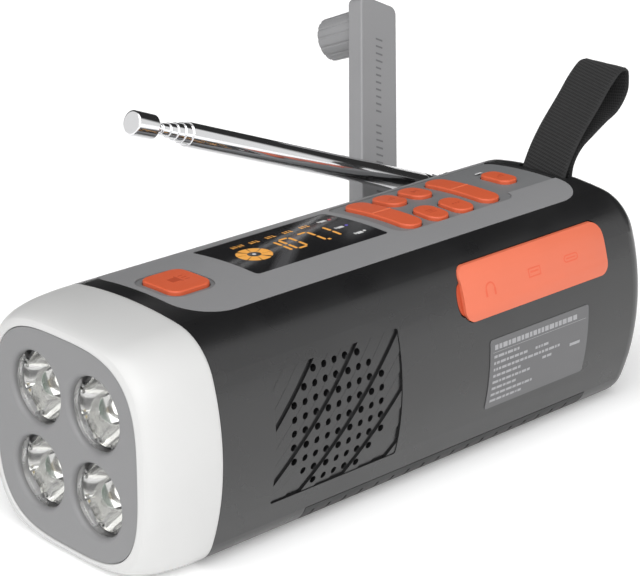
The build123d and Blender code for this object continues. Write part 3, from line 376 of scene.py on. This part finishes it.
def webbing_material():
    """Black yarn, with painted shade darkening the hollows between the yarns."""
    m = finish_mat("strap_black", (0.026, 0.026, 0.027), 0.75, fleck=0.1, fleck_scale=900, grain=5200, bump=0.4, sheen=0.1, spec=0.3)
    t, b, L = nodes_of(m)
    # painted shade: the base colour darkens in the hollows between the yarns
    at = t.nodes.new("ShaderNodeAttribute")
    at.attribute_name = "painted_weave_shade"
    ramp = t.nodes.new("ShaderNodeValToRGB")
    ramp.color_ramp.elements[0].position = 0.25
    ramp.color_ramp.elements[1].position = 0.65
    ramp.color_ramp.elements[0].color = (0.004, 0.004, 0.004, 1)
    ramp.color_ramp.elements[1].color = (0.019, 0.019, 0.0195, 1)
    L.new(at.outputs["Fac"], ramp.inputs["Fac"])
    L.new(ramp.outputs["Color"], b.inputs["Base Color"])
    return m


M["strap_black"] = webbing_material()

# the CAD's own meshes, by finish
BY_FINISH = {
    "case_black": ["near_shell", "far_shell"],
    "pad_black": ["base_pad"],
    "panel_grey": ["top_panel"],
    "plate_grey": ["reflector_plate"],
    "board_green": ["led_board", "main_board"],
    "display_glass": ["display_window"],
    "module_black": ["display_module", "tact_switches"],
    "key_orange": ["torch_button", "tuning_rocker", "volume_rocker", "key_mode", "key_play", "key_band", "key_alarm", "key_siren"],
    "cover_orange": ["port_cover"],
    "socket_metal": [
        "usb_a_socket", "usb_c_socket", "housing_screws", "board_screws", "strap_bar", "idler_axle", "crank_shaft",
        "motor_shaft", "fold_pin", "antenna_pin", "gear_plate",
    ],
    "socket_black": ["usb_a_tongue", "headphone_jack"],
    "label_grey": ["rating_label"],
    "speaker_black": ["speaker_frame"],
    "cone_black": ["speaker_cone"],
    "magnet_steel": ["speaker_magnet", "generator_motor"],
    "cell_blue": ["battery_cell"],
    "module_black ": ["battery_cradle"],
    "gear_white": ["crank_gear", "idler_gear"],
    "brass": ["crank_bush", "motor_pinion"],
    "crank_grey": ["crank_hub", "crank_arm", "crank_knob"],
    "chrome": ["antenna_base", "antenna_knuckle", "antenna_tip"] + [f"antenna_tube_{k}" for k in range(1, 6)],
    "mirror": ["led_reflectors"],
    "lens_clear": ["led_lenses"],
    "led_yellow": ["led_emitters"],
    "bezel_white": ["lamp_bezel"],
    "strap_black": ["strap"],
}
for finish_name, names in BY_FINISH.items():
    for n in names:
        o = CAD[n]
        o.data.materials.clear()
        o.data.materials.append(M[finish_name.strip()])


def soften(name, width, segments=3, angle=32):
    """Rounds a CAD part's sharp edges a little."""
    o = CAD[name]
    w = o.modifiers.new("weld", "WELD")
    w.merge_threshold = 0.000004
    b = o.modifiers.new("round", "BEVEL")
    b.width = width * MM
    b.segments = segments
    b.limit_method = "ANGLE"
    b.angle_limit = math.radians(angle)
    b.use_clamp_overlap = True
    b.harden_normals = True


for name, width in (
    ("crank_arm", 0.55), ("crank_knob", 0.2), ("crank_hub", 0.4), ("port_cover", 0.22), ("antenna_tip", 0.3),
    ("antenna_base", 0.3), ("antenna_knuckle", 0.3), ("antenna_tube_1", 0.12), ("antenna_tube_2", 0.12),
    ("antenna_tube_3", 0.12), ("antenna_tube_4", 0.1), ("antenna_tube_5", 0.1), ("reflector_plate", 0.25),
):
    soften(name, width)

# ------------------------------------------------------------------ lamp bezel
COUNT = 160
ANG = [2 * math.pi * (k + 0.5) / COUNT for k in range(COUNT)]
R_BODY = [ray_to_section(math.cos(a), math.sin(a)) for a in ANG]


def squircle(a, half, n=3.3):
    c, s = math.cos(a), math.sin(a)
    return half / (abs(c) ** n + abs(s) ** n) ** (1 / n)


def bezel_ring(x, inset=0.0):
    t = min(max((X_SEAM - x) / (X_SEAM - X_PLATE), 0.0), 1.0)
    ease = 1.0 - (1.0 - t**2.3) ** (1 / 2.3)
    out = []
    for a, rb in zip(ANG, R_BODY):
        r = rb * (1 - ease) + squircle(a, 26.6) * ease - inset
        out.append((x, r * math.cos(a), Z_WAIST + r * math.sin(a)))
    return out


def squircle_ring(x, half):
    return [(x, squircle(a, half) * math.cos(a), Z_WAIST + squircle(a, half) * math.sin(a)) for a in ANG]


b = Build()
rows = [bezel_ring(X_SEAM - 0.02, 0.14), bezel_ring(X_SEAM - 0.16, 0.0)]
for i in range(1, 46):
    f = i / 46
    x = X_SEAM - 0.16 + (X_PLATE + 0.35 - X_SEAM + 0.16) * (1 - (1 - f) ** 1.9)
    rows.append(bezel_ring(x))
rows += [squircle_ring(X_PLATE + 0.12, 26.5), squircle_ring(X_PLATE, 26.25), squircle_ring(X_PLATE + 0.06, 26.0)]
rows += [squircle_ring(X_PLATE + 0.3, 25.9), squircle_ring(X_PLATE + 2.6, 25.9)]
for f in (0.1, 0.3, 0.6, 0.8):
    rows.append(bezel_ring(X_PLATE + 2.8 + (X_SEAM - X_PLATE - 2.8) * f, 2.6))
rows.append(bezel_ring(X_SEAM - 0.02, 2.6))
b.grid(rows, closed_rows=True, closed_cols=True)
bezel = b.obj("lamp_bezel_smooth", M["bezel_white"], "case", "bezel_white", angle=60)
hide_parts("lamp_bezel")

# ------------------------------------------------------------------ lamps
LEDS = [(sy * 10.5, Z_WAIST + sz * 10.5) for sy in (-1, 1) for sz in (-1, 1)]


def lobes(a, x, r):
    """Four scallops cut into the rim of the bowl."""
    if r < 7.3:
        return 1.0
    k = min((r - 7.3) / 1.0, 1.0)
    w = abs(math.sin(2 * a))
    return 1.0 - 0.11 * k * max(0.0, 1 - (1 - w) * 3.2)


X_LAMP = X_PLATE + 1.75
bowl, sleeve, lens, dome, chip, clip = Build(), Build(), Build(), Build(), Build(), Build()
for at in LEDS:
    # polished bowl
    prof = []
    for i in range(15):
        f = i / 14
        r = 3.3 + (8.35 - 3.3) * f
        prof.append((X_LAMP + 8.6 - 6.9 * (f**1.75), r))
    back = [(x + 0.45, r + 0.2) for x, r in reversed(prof)]
    bowl.turned(prof + back, at, 96, lobes)
    # sleeve between the plate and the bowl
    sleeve.turned([(X_LAMP + 0.42, 9.18), (X_LAMP + 0.42, 9.02), (X_LAMP + 2.4, 8.8), (X_LAMP + 4.6, 7.6), (X_LAMP + 4.9, 7.9), (X_LAMP + 2.6, 9.18)], at, 96)
    # clear front lens, a shallow dome
    prof = [(X_LAMP + 0.95 - 0.35 * (1 - (i / 10) ** 2), 8.9 * i / 10) for i in range(0, 11)]
    back = [(X_LAMP + 1.2, 8.7), (X_LAMP + 0.95, 4.0), (X_LAMP + 0.85, 0.0)]
    lens.turned(prof + back, at, 72)
    # the emitter's clear dome over its yellow chip
    prof = [(X_PLATE + 3.1 + 3.7 * (1 - math.cos(math.radians(9 * i))), 3.75 * math.sin(math.radians(9 * i))) for i in range(0, 11)]
    dome.turned(prof + [(X_LAMP + 8.2, 3.75), (X_LAMP + 8.2, 0.0)], at, 56)
    chip.turned([(X_PLATE + 8.2, 0.0), (X_PLATE + 8.2, 0.8), (X_PLATE + 8.5, 1.1), (X_LAMP + 8.1, 1.3), (X_LAMP + 8.1, 0.0)], at, 40)
    # small retaining clips round the bowl's rim
    for k in range(8):
        a0 = math.pi / 4 * (k + 0.5)
        for s in (-0.09, 0.09):
            a = a0 + s
            for r0, r1, x0c, x1c in ((7.75, 8.75, X_LAMP + 1.9, X_LAMP + 2.5),):
                q = []
                for xx in (x0c, x1c):
                    for rr in (r0, r1):
                        for da in (-0.05, 0.05):
                            q.append((xx, at[0] + rr * math.cos(a + da), at[1] + rr * math.sin(a + da)))
                kk = clip.add(q)
                for face in ((0, 1, 3, 2), (4, 6, 7, 5), (0, 4, 5, 1), (2, 3, 7, 6), (0, 2, 6, 4), (1, 5, 7, 3)):
                    clip.f.append([kk + i for i in face])
o = bowl.obj("lamp_bowls", M["mirror"], "case", "reflector_chrome", angle=50)
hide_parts("led_reflectors")
sleeve.obj("lamp_sleeves", M["socket_metal"], "case", "reflector_chrome", angle=40)
o = lens.obj("lamp_lenses", M["lens_clear"], "case", "lens_clear", angle=40)
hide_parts("led_lenses")
o = dome.obj("lamp_domes", M["dome_glass"], "case", "lens_clear", angle=40)
o = chip.obj("lamp_chips", M["led_yellow"], "case", "led_yellow", angle=40)
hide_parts("led_emitters")
clip.obj("lamp_clips", M["mirror"], "case", "reflector_chrome", flat=True)

# ------------------------------------------------------------------ display
amber, white, red, blue = Build(), Build(), Build(), Build()
D0, D1 = -0.13, -0.06
W, H, TH, LEAN = 3.3, 7.9, 0.78, 0.08
SEG = {"a": ((0, H), (W, H)), "b": ((W, H), (W, H / 2)), "c": ((W, H / 2), (W, 0)), "d": ((0, 0), (W, 0)),
       "e": ((0, 0), (0, H / 2)), "f": ((0, H / 2), (0, H)), "g": ((0, H / 2), (W, H / 2))}
SHAPES = {"0": "abcdef", "7": "abc", "1": "bc", "4": "fgbc"}


def digit(ch, x, y):
    for s in SHAPES[ch]:
        (ax, ay), (bx, by) = SEG[s]
        d = unit((bx - ax, by - ay))
        n = (-d[1], d[0])
        g, h = 0.28, TH / 2
        p0, p1 = (ax + d[0] * g, ay + d[1] * g), (bx - d[0] * g, by - d[1] * g)
        pts = [p0, (p0[0] + d[0] * h * 0.7 + n[0] * h, p0[1] + d[1] * h * 0.7 + n[1] * h),
               (p1[0] - d[0] * h * 0.7 + n[0] * h, p1[1] - d[1] * h * 0.7 + n[1] * h), p1,
               (p1[0] - d[0] * h * 0.7 - n[0] * h, p1[1] - d[1] * h * 0.7 - n[1] * h),
               (p0[0] + d[0] * h * 0.7 - n[0] * h, p0[1] + d[1] * h * 0.7 - n[1] * h)]
        amber.prism(top, [(x + u + LEAN * v, y + v) for u, v in pts], D0, D1)


digit("1", -18.2, -0.9)
digit("0", -13.2, -0.9)
digit("7", -7.0, -0.9)
digit("1", -1.7, -0.9)
amber.bar(top, -3.1, -2.3, -1.35, -0.55, D0, D1)
RC = (-23.7, 3.3)
for k in range(8):
    g0 = 2.0 if k % 4 else 5.5
    g1 = 2.0 if (k + 1) % 4 else 5.5
    a0, a1 = 45 * k - 62 + g0, 45 * (k + 1) - 62 - g1
    pts = [(RC[0] + 4.55 * math.cos(math.radians(a0 + (a1 - a0) * i / 8)), RC[1] + 4.55 * math.sin(math.radians(a0 + (a1 - a0) * i / 8))) for i in range(9)]
    pts += [(RC[0] + 1.75 * math.cos(math.radians(a1 + (a0 - a1) * i / 4)), RC[1] + 1.75 * math.sin(math.radians(a1 + (a0 - a1) * i / 4))) for i in range(5)]
    amber.prism(top, pts, D0, D1)
white.prism(top, [(RC[0] + 0.5 * math.cos(i * math.pi / 6), RC[1] + 0.5 * math.sin(i * math.pi / 6)) for i in range(12)], D0, D1)
# plain bars where a display carries its small captions
for cx, cy, n in ((-22.4, 10.9, 4), (-17.2, 10.7, 3), (-11.7, 10.8, 3), (-6.1, 10.7, 3), (-0.4, 10.7, 3)):
    for i in range(n):
        x = cx + (i - (n - 1) / 2) * 1.05
        amber.bar(top, x - 0.14, x + 0.14, cy - 0.75, cy + 0.75, D0, D1)
        y = cy + (0.6 if i % 2 else -0.6)
        amber.bar(top, x - 0.4, x + 0.4, y - 0.13, y + 0.13, D0, D1)
for cx, cy, dot, paint in ((6.1, 10.7, (8.2, 10.5), red), (5.4, 3.6, (7.6, 3.7), blue), (6.1, -2.6, (8.0, -2.3), white)):
    white.bar(top, cx - 0.95, cx + 0.95, cy - 0.55, cy + 0.55, D0, D1)
    white.bar(top, cx - 1.6, cx - 1.2, cy - 0.3, cy + 0.7, D0, D1)
    paint.prism(top, [(dot[0] + 0.45 * math.cos(i * math.pi / 5), dot[1] + 0.45 * math.sin(i * math.pi / 5)) for i in range(10)], D0, D1)
amber.obj("display_figures", M["amber"], "case", flat=True)
# a small white caption bar beside one group of keys, on the panel
for cx, cy in ((64.3, 11.0),):
    white.bar(top, cx - 1.2, cx + 1.2, cy - 0.4, cy + 0.4, -0.02, 0.02)
white.obj("display_marks", M["mark_white"], "case", flat=True)
red.obj("display_dot_red", M["mark_red"], "case", flat=True)
blue.obj("display_dot_blue", M["mark_blue"], "case", flat=True)

# ------------------------------------------------------------------ keys
# rocker ribs in the lighter orange, a painted highlight
for key, cx, cy in (("tuning_rocker", 20.6, 4.3), ("volume_rocker", 49.7, 4.4)):
    r = Build()
    r.bar(top, cx - 3.1, cx + 3.1, cy - 0.17, cy + 0.17, 0.54, 0.7)
    r.obj(key + "_rib", M["rib_painted_highlight"], "body_" + key, "key_orange", flat=True)
for key, cx, cy, kind in (
    ("torch_button", -50.0, 1.2, "sun"), ("key_mode", 29.8, 10.4, "bars"), ("key_play", 39.1, 10.4, "play"),
    ("key_band", 29.8, -4.2, "waves"), ("key_alarm", 39.1, -4.2, "dots"), ("key_siren", 64.4, 3.8, "bars"),
):
    r = Build()
    lo_d, hi_d = 0.56, 0.625
    if kind == "sun":
        r.prism(top, [(cx - 1.9, cy - 1.2), (cx + 0.2, cy - 1.2), (cx + 0.9, cy - 2.0), (cx + 0.9, cy + 2.0), (cx + 0.2, cy + 1.2), (cx - 1.9, cy + 1.2)], lo_d, hi_d)
        for dy in (-1.3, 0.0, 1.3):
            r.bar(top, cx + 1.6, cx + 3.0, cy + dy - 0.16, cy + dy + 0.16, lo_d, hi_d)
    elif kind == "bars":
        for k in range(3):
            r.bar(top, cx - 1.2 + k * 1.0, cx - 0.8 + k * 1.0, cy - 0.9, cy - 0.3 + 0.6 * k, lo_d, hi_d)
    elif kind == "play":
        r.prism(top, [(cx - 1.1, cy - 1.0), (cx + 0.5, cy), (cx - 1.1, cy + 1.0)], lo_d, hi_d)
        r.bar(top, cx + 0.7, cx + 1.0, cy - 0.9, cy + 0.9, lo_d, hi_d)
    elif kind == "waves":
        for k in range(3):
            r.bar(top, cx - 1.3, cx + 1.3, cy - 0.95 + 0.8 * k, cy - 0.7 + 0.8 * k, lo_d, hi_d)
    else:
        for k in range(3):
            r.bar(top, cx - 1.3 + k, cx - 0.8 + k, cy - 0.25, cy + 0.25, lo_d, hi_d)
    r.obj(key + "_mark", M["mark_and_shade_orange"], "body_" + key, "key_orange", flat=True)

# ------------------------------------------------------------------ port cover pictograms
r = Build()
c0, c1 = 0.46, 0.53
cx, cz = 24.7, 46.2


def arc_band(build, fn, cx, cy, r0, r1, a0, a1, n, d0, d1):
    pts = [(cx + r1 * math.cos(math.radians(a0 + (a1 - a0) * i / n)), cy + r1 * math.sin(math.radians(a0 + (a1 - a0) * i / n))) for i in range(n + 1)]
    pts += [(cx + r0 * math.cos(math.radians(a1 + (a0 - a1) * i / n)), cy + r0 * math.sin(math.radians(a1 + (a0 - a1) * i / n))) for i in range(n + 1)]
    build.prism(fn, pts, d0, d1)


arc_band(r, near, cx, cz, 1.35, 1.75, 0, 180, 12, c0, c1)
r.bar(near, cx - 1.85, cx - 1.25, cz - 1.7, cz, c0, c1)
r.bar(near, cx + 1.25, cx + 1.85, cz - 1.7, cz, c0, c1)
cx, cz = 41.2, 46.6
for x0, x1, z0, z1 in ((-2.3, 2.3, 0.85, 1.15), (-2.3, 2.3, -1.15, -0.85), (-2.3, -2.0, -0.85, 0.85), (2.0, 2.3, -0.85, 0.85), (-1.5, 1.5, -0.05, 0.35)):
    r.bar(near, cx + x0, cx + x1, cz + z0, cz + z1, c0, c1)
cx, cz = 55.3, 46.9
arc_band(r, near, cx - 1.8, cz, 0.65, 0.95, 90, 270, 8, c0, c1)
arc_band(r, near, cx + 1.8, cz, 0.65, 0.95, -90, 90, 8, c0, c1)
for z0, z1 in ((0.65, 0.95), (-0.95, -0.65), (-0.15, 0.15)):
    r.bar(near, cx - 1.8, cx + 1.8, cz + z0, cz + z1, c0, c1)
r.obj("port_cover_marks", M["cover_mark"], "flap", "cover_orange", flat=True)

# finger tab of the port cover, down in its notch, given the darker mark orange as painted shade
r = Build()
r.prism(near, [(15.6, 49.2)] + [(15.25 - 1.75 * math.cos(math.radians(a)), 45.5 + 3.85 * math.sin(math.radians(a))) for a in range(90, -91, -12)] + [(15.6, 41.8)], -1.25, -0.35)
r.obj("port_cover_tab", M["mark_and_shade_orange"], "flap", "cover_orange")

# ------------------------------------------------------------------ rating label: plain bars in place of its lines
r = Build()
l0, l1 = 0.16, 0.21
x0, x1, z0, z1 = 23.0, 60.6, 14.4, 33.4
zz = z1 - 2.2


def dashes(xa, xb, z, h, lo_w=0.5, hi_w=2.2, gap=0.35):
    x = xa
    while x < xb - lo_w:
        w = min(lo_w + (hi_w - lo_w) * random.random(), xb - x)
        r.bar(near, x, x + w, z - h / 2, z + h / 2, l0, l1)
        x += w + gap


dashes(x0 + 1.6, x1 - 3.6, zz, 1.3, 0.9, 1.9, 0.4)
r.bar(near, x0 + 1.0, x1 - 1.0, zz - 1.35, zz - 1.25, l0, l1 - 0.02)
for k, reach in enumerate((9.5, 13.0, 17.5, 10.5, 14.0, 9.0, 15.5, 12.0)):
    dashes(x0 + 1.4, x0 + 1.4 + reach, zz - 2.5 - 1.75 * k, 0.7)
for k, reach in enumerate((5.0, 8.0, 3.5)):
    dashes(x0 + 17.0 + 1.5 * k, x0 + 17.0 + reach + 1.5 * k, zz - 4.25 - 1.75 * k, 0.7)
r.bar(near, x1 - 7.0, x1 - 3.0, zz - 7.6, zz - 6.8, l0, l1)
r.obj("label_lines", M["label_ink"], "case", "label_grey", flat=True)

# ------------------------------------------------------------------ crank arm: a row of plain strokes
L_, T_ = math.radians(23.0), math.radians(23.6)
HUB = Vector((49.0, 34.9, 28.3))
A = Vector((0.3685, 0.3907, 0.8435)).normalized()
Wd = Vector((0.9164, 0.0, -0.4003)).normalized()
K = A.cross(Wd).normalized()


def on_arm(s, w, d):
    p = HUB + A * s + Wd * w - K * (2.5 + d)
    return tuple(p)


r = Build()
s = 17.0
while s < 66.0:
    if not 40.5 < s < 43.0:
        r.bar(on_arm, s, s + 0.5, -1.5, 1.3 if int(s) % 2 else 0.7, -0.05, 0.035)
    s += 2.1
r.obj("crank_arm_strokes", M["crank_mark"], "arm", "crank_grey", flat=True)

# ------------------------------------------------------------------ strap webbing
LOOP = [(79.6, 50.6), (77.95, 52.6), (78.1, 57.0), (80.3, 62.0), (84.4, 67.8), (91.6, 75.4), (96.3, 80.5), (100.4, 83.4),
        (102.7, 83.2), (103.4, 80.4), (103.1, 77.2), (99.7, 72.8), (94.6, 70.3), (89.8, 67.8), (84.8, 64.9), (81.9, 61.2),
        (81.1, 57.0), (81.25, 52.6)]


def smooth_loop(pts, per=24):
    out = []
    n = len(pts)
    for i in range(n):
        p0, p1, p2, p3 = (pts[(i + k - 1) % n] for k in range(4))
        t0 = 0.0
        t1 = t0 + math.dist(p0, p1) ** 0.5
        t2 = t1 + math.dist(p1, p2) ** 0.5
        t3 = t2 + math.dist(p2, p3) ** 0.5
        for k in range(per):
            t = t1 + (t2 - t1) * k / per

            def mix(a, b, ta, tb):
                return tuple(((tb - t) * u + (t - ta) * v) / (tb - ta) for u, v in zip(a, b))

            a1, a2, a3 = mix(p0, p1, t0, t1), mix(p1, p2, t1, t2), mix(p2, p3, t2, t3)
            b1, b2 = mix(a1, a2, t0, t2), mix(a2, a3, t1, t3)
            out.append(mix(b1, b2, t1, t2))
    return out


fine = smooth_loop(LOOP)
acc = [0.0]
for p, q in zip(fine, fine[1:] + fine[:1]):
    acc.append(acc[-1] + math.dist(p, q))
TOTAL = acc[-1]
STEPS = 640
path, j = [], 0
for i in range(STEPS):
    s = TOTAL * i / STEPS
    while acc[j + 1] < s:
        j += 1
    f = (s - acc[j]) / (acc[j + 1] - acc[j])
    p, q = fine[j], fine[(j + 1) % len(fine)]
    path.append((p[0] + (q[0] - p[0]) * f, p[1] + (q[1] - p[1]) * f))
STRAP_W, STRAP_T, ACROSS = 15.0, 1.1, 88
b = Build()
rows, painted_weave_shade = [], []
for i, p in enumerate(path):
    a, c = path[i - 1], path[(i + 1) % STEPS]
    tx, tz = unit((c[0] - a[0], c[1] - a[1]))
    nx, nz = -tz, tx
    s = TOTAL * i / STEPS
    ring = []
    for side in (1, -1):
        for k in range(ACROSS + 1):
            f = k / ACROSS if side == 1 else 1 - k / ACROSS
            v = (f - 0.5) * (STRAP_W - 0.3)
            # slanted rows of yarns that pass over and under each other
            w = math.cos(2 * math.pi * (s + 0.62 * v) / 1.02) * math.cos(2 * math.pi * (v - 0.12 * s) / 1.26)
            edge = min(1.0, (0.5 - abs(f - 0.5)) * 18)
            h = STRAP_T / 2 - 0.09 + 0.075 * w * edge - 0.28 * (1 - edge)
            ring.append((p[0] + nx * h * side, v, p[1] + nz * h * side))
            # painted shade value for the hollows, read by the strap material
            painted_weave_shade.append(0.5 + 0.5 * w * edge)
        ring.append((p[0], side * STRAP_W / 2, p[1]))
        painted_weave_shade.append(0.5)
    rows.append(ring)
b.grid(rows, closed_rows=True, closed_cols=True)
strap = b.obj("strap_webbing", M["strap_black"], "case", "strap_black", angle=80)
strap.data.attributes.new("painted_weave_shade", "FLOAT", "POINT").data.foreach_set("value", painted_weave_shade)
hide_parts("strap")

# ------------------------------------------------------------------ stage
me = bpy.data.meshes.new("floor")
S = 14.0
me.from_pydata([(-S, -S, -0.0004), (S, -S, -0.0004), (S, S, -0.0004), (-S, S, -0.0004)], [], [(0, 1, 2, 3)])
floor = bpy.data.objects.new("floor", me)
bpy.context.scene.collection.objects.link(floor)
fm = bpy.data.materials.new("floor_pale")
fm.use_nodes = True
fb = fm.node_tree.nodes["Principled BSDF"]
fb.inputs["Base Color"].default_value = (0.98, 0.98, 0.98, 1)
fb.inputs["Roughness"].default_value = 0.9
fb.inputs["Specular IOR Level"].default_value = 0.1
fb.inputs["Emission Color"].default_value = (1, 1, 1, 1)
fb.inputs["Emission Strength"].default_value = 0.12
me.materials.append(fm)


def softbox(name, loc, aim, size, power):
    d = bpy.data.lights.new(name, "AREA")
    d.shape = "RECTANGLE"
    d.size, d.size_y = size
    d.energy = power
    o = bpy.data.objects.new(name, d)
    bpy.context.scene.collection.objects.link(o)
    o.location = loc
    o.rotation_euler = (Vector(aim) - Vector(loc)).to_track_quat("-Z", "Y").to_euler()
    return o


sun_data = bpy.data.lights.new("over", "SUN")
sun_data.energy = 1.9
sun_data.angle = math.radians(70)
sun = bpy.data.objects.new("over", sun_data)
bpy.context.scene.collection.objects.link(sun)
sun.rotation_euler = Vector((0.52, 0.28, -0.82)).to_track_quat("-Z", "Y").to_euler()
softbox("side", (-0.6, -1.5, 0.8), (0.0, 0, 0.03), (1.4, 1.0), 10)
softbox("front", (-1.5, -0.2, 0.5), (-0.05, 0, 0.03), (1.2, 1.0), 0.8)

world = bpy.data.worlds.new("studio")
bpy.context.scene.world = world
world.use_nodes = True
bg = world.node_tree.nodes["Background"]
bg.inputs["Strength"].default_value = 1.0
# a pale room with a dark wall behind the strap end
wt = world.node_tree
wc = wt.nodes.new("ShaderNodeTexCoord")
wx = wt.nodes.new("ShaderNodeVectorMath")
wx.operation = "DOT_PRODUCT"
wx.inputs[1].default_value = (1.0, 1.1, 0.5)
wt.links.new(wc.outputs["Generated"], wx.inputs[0])
wr = wt.nodes.new("ShaderNodeMapRange")
wr.inputs["From Min"].default_value, wr.inputs["From Max"].default_value = 0.42, 0.72
wr.inputs["To Min"].default_value, wr.inputs["To Max"].default_value = 0.0, 1.0
wt.links.new(wx.outputs["Value"], wr.inputs["Value"])
wk = wt.nodes.new("ShaderNodeValToRGB")
wk.color_ramp.elements[0].color = (0.80, 0.80, 0.80, 1)
wk.color_ramp.elements[1].color = (0.03, 0.03, 0.03, 1)
wt.links.new(wr.outputs["Result"], wk.inputs["Fac"])
wt.links.new(wk.outputs["Color"], bg.inputs["Color"])

cam_data = bpy.data.cameras.new("camera")
cam = bpy.data.objects.new("camera", cam_data)
bpy.context.scene.collection.objects.link(cam)
bpy.context.scene.camera = cam
cam_data.lens = 123.975
cam_data.sensor_width = 36.0
cam_data.sensor_fit = "HORIZONTAL"
cam_data.clip_start, cam_data.clip_end = 0.01, 50.0
cam_data.dof.use_dof = False
right, up, back = (0.72285, -0.69099, 0.00454), (0.23845, 0.2556, 0.93691), (-0.64856, -0.67616, 0.34953)
cam.matrix_world = Matrix(
    (
        (right[0], up[0], back[0], -0.35738),
        (right[1], up[1], back[1], -0.36745),
        (right[2], up[2], back[2], 0.23576),
        (0, 0, 0, 1),
    )
)
bpy.context.scene.view_settings.view_transform = "Standard"
bpy.context.scene.view_settings.look = "None"

bpy.context.view_layer.update()
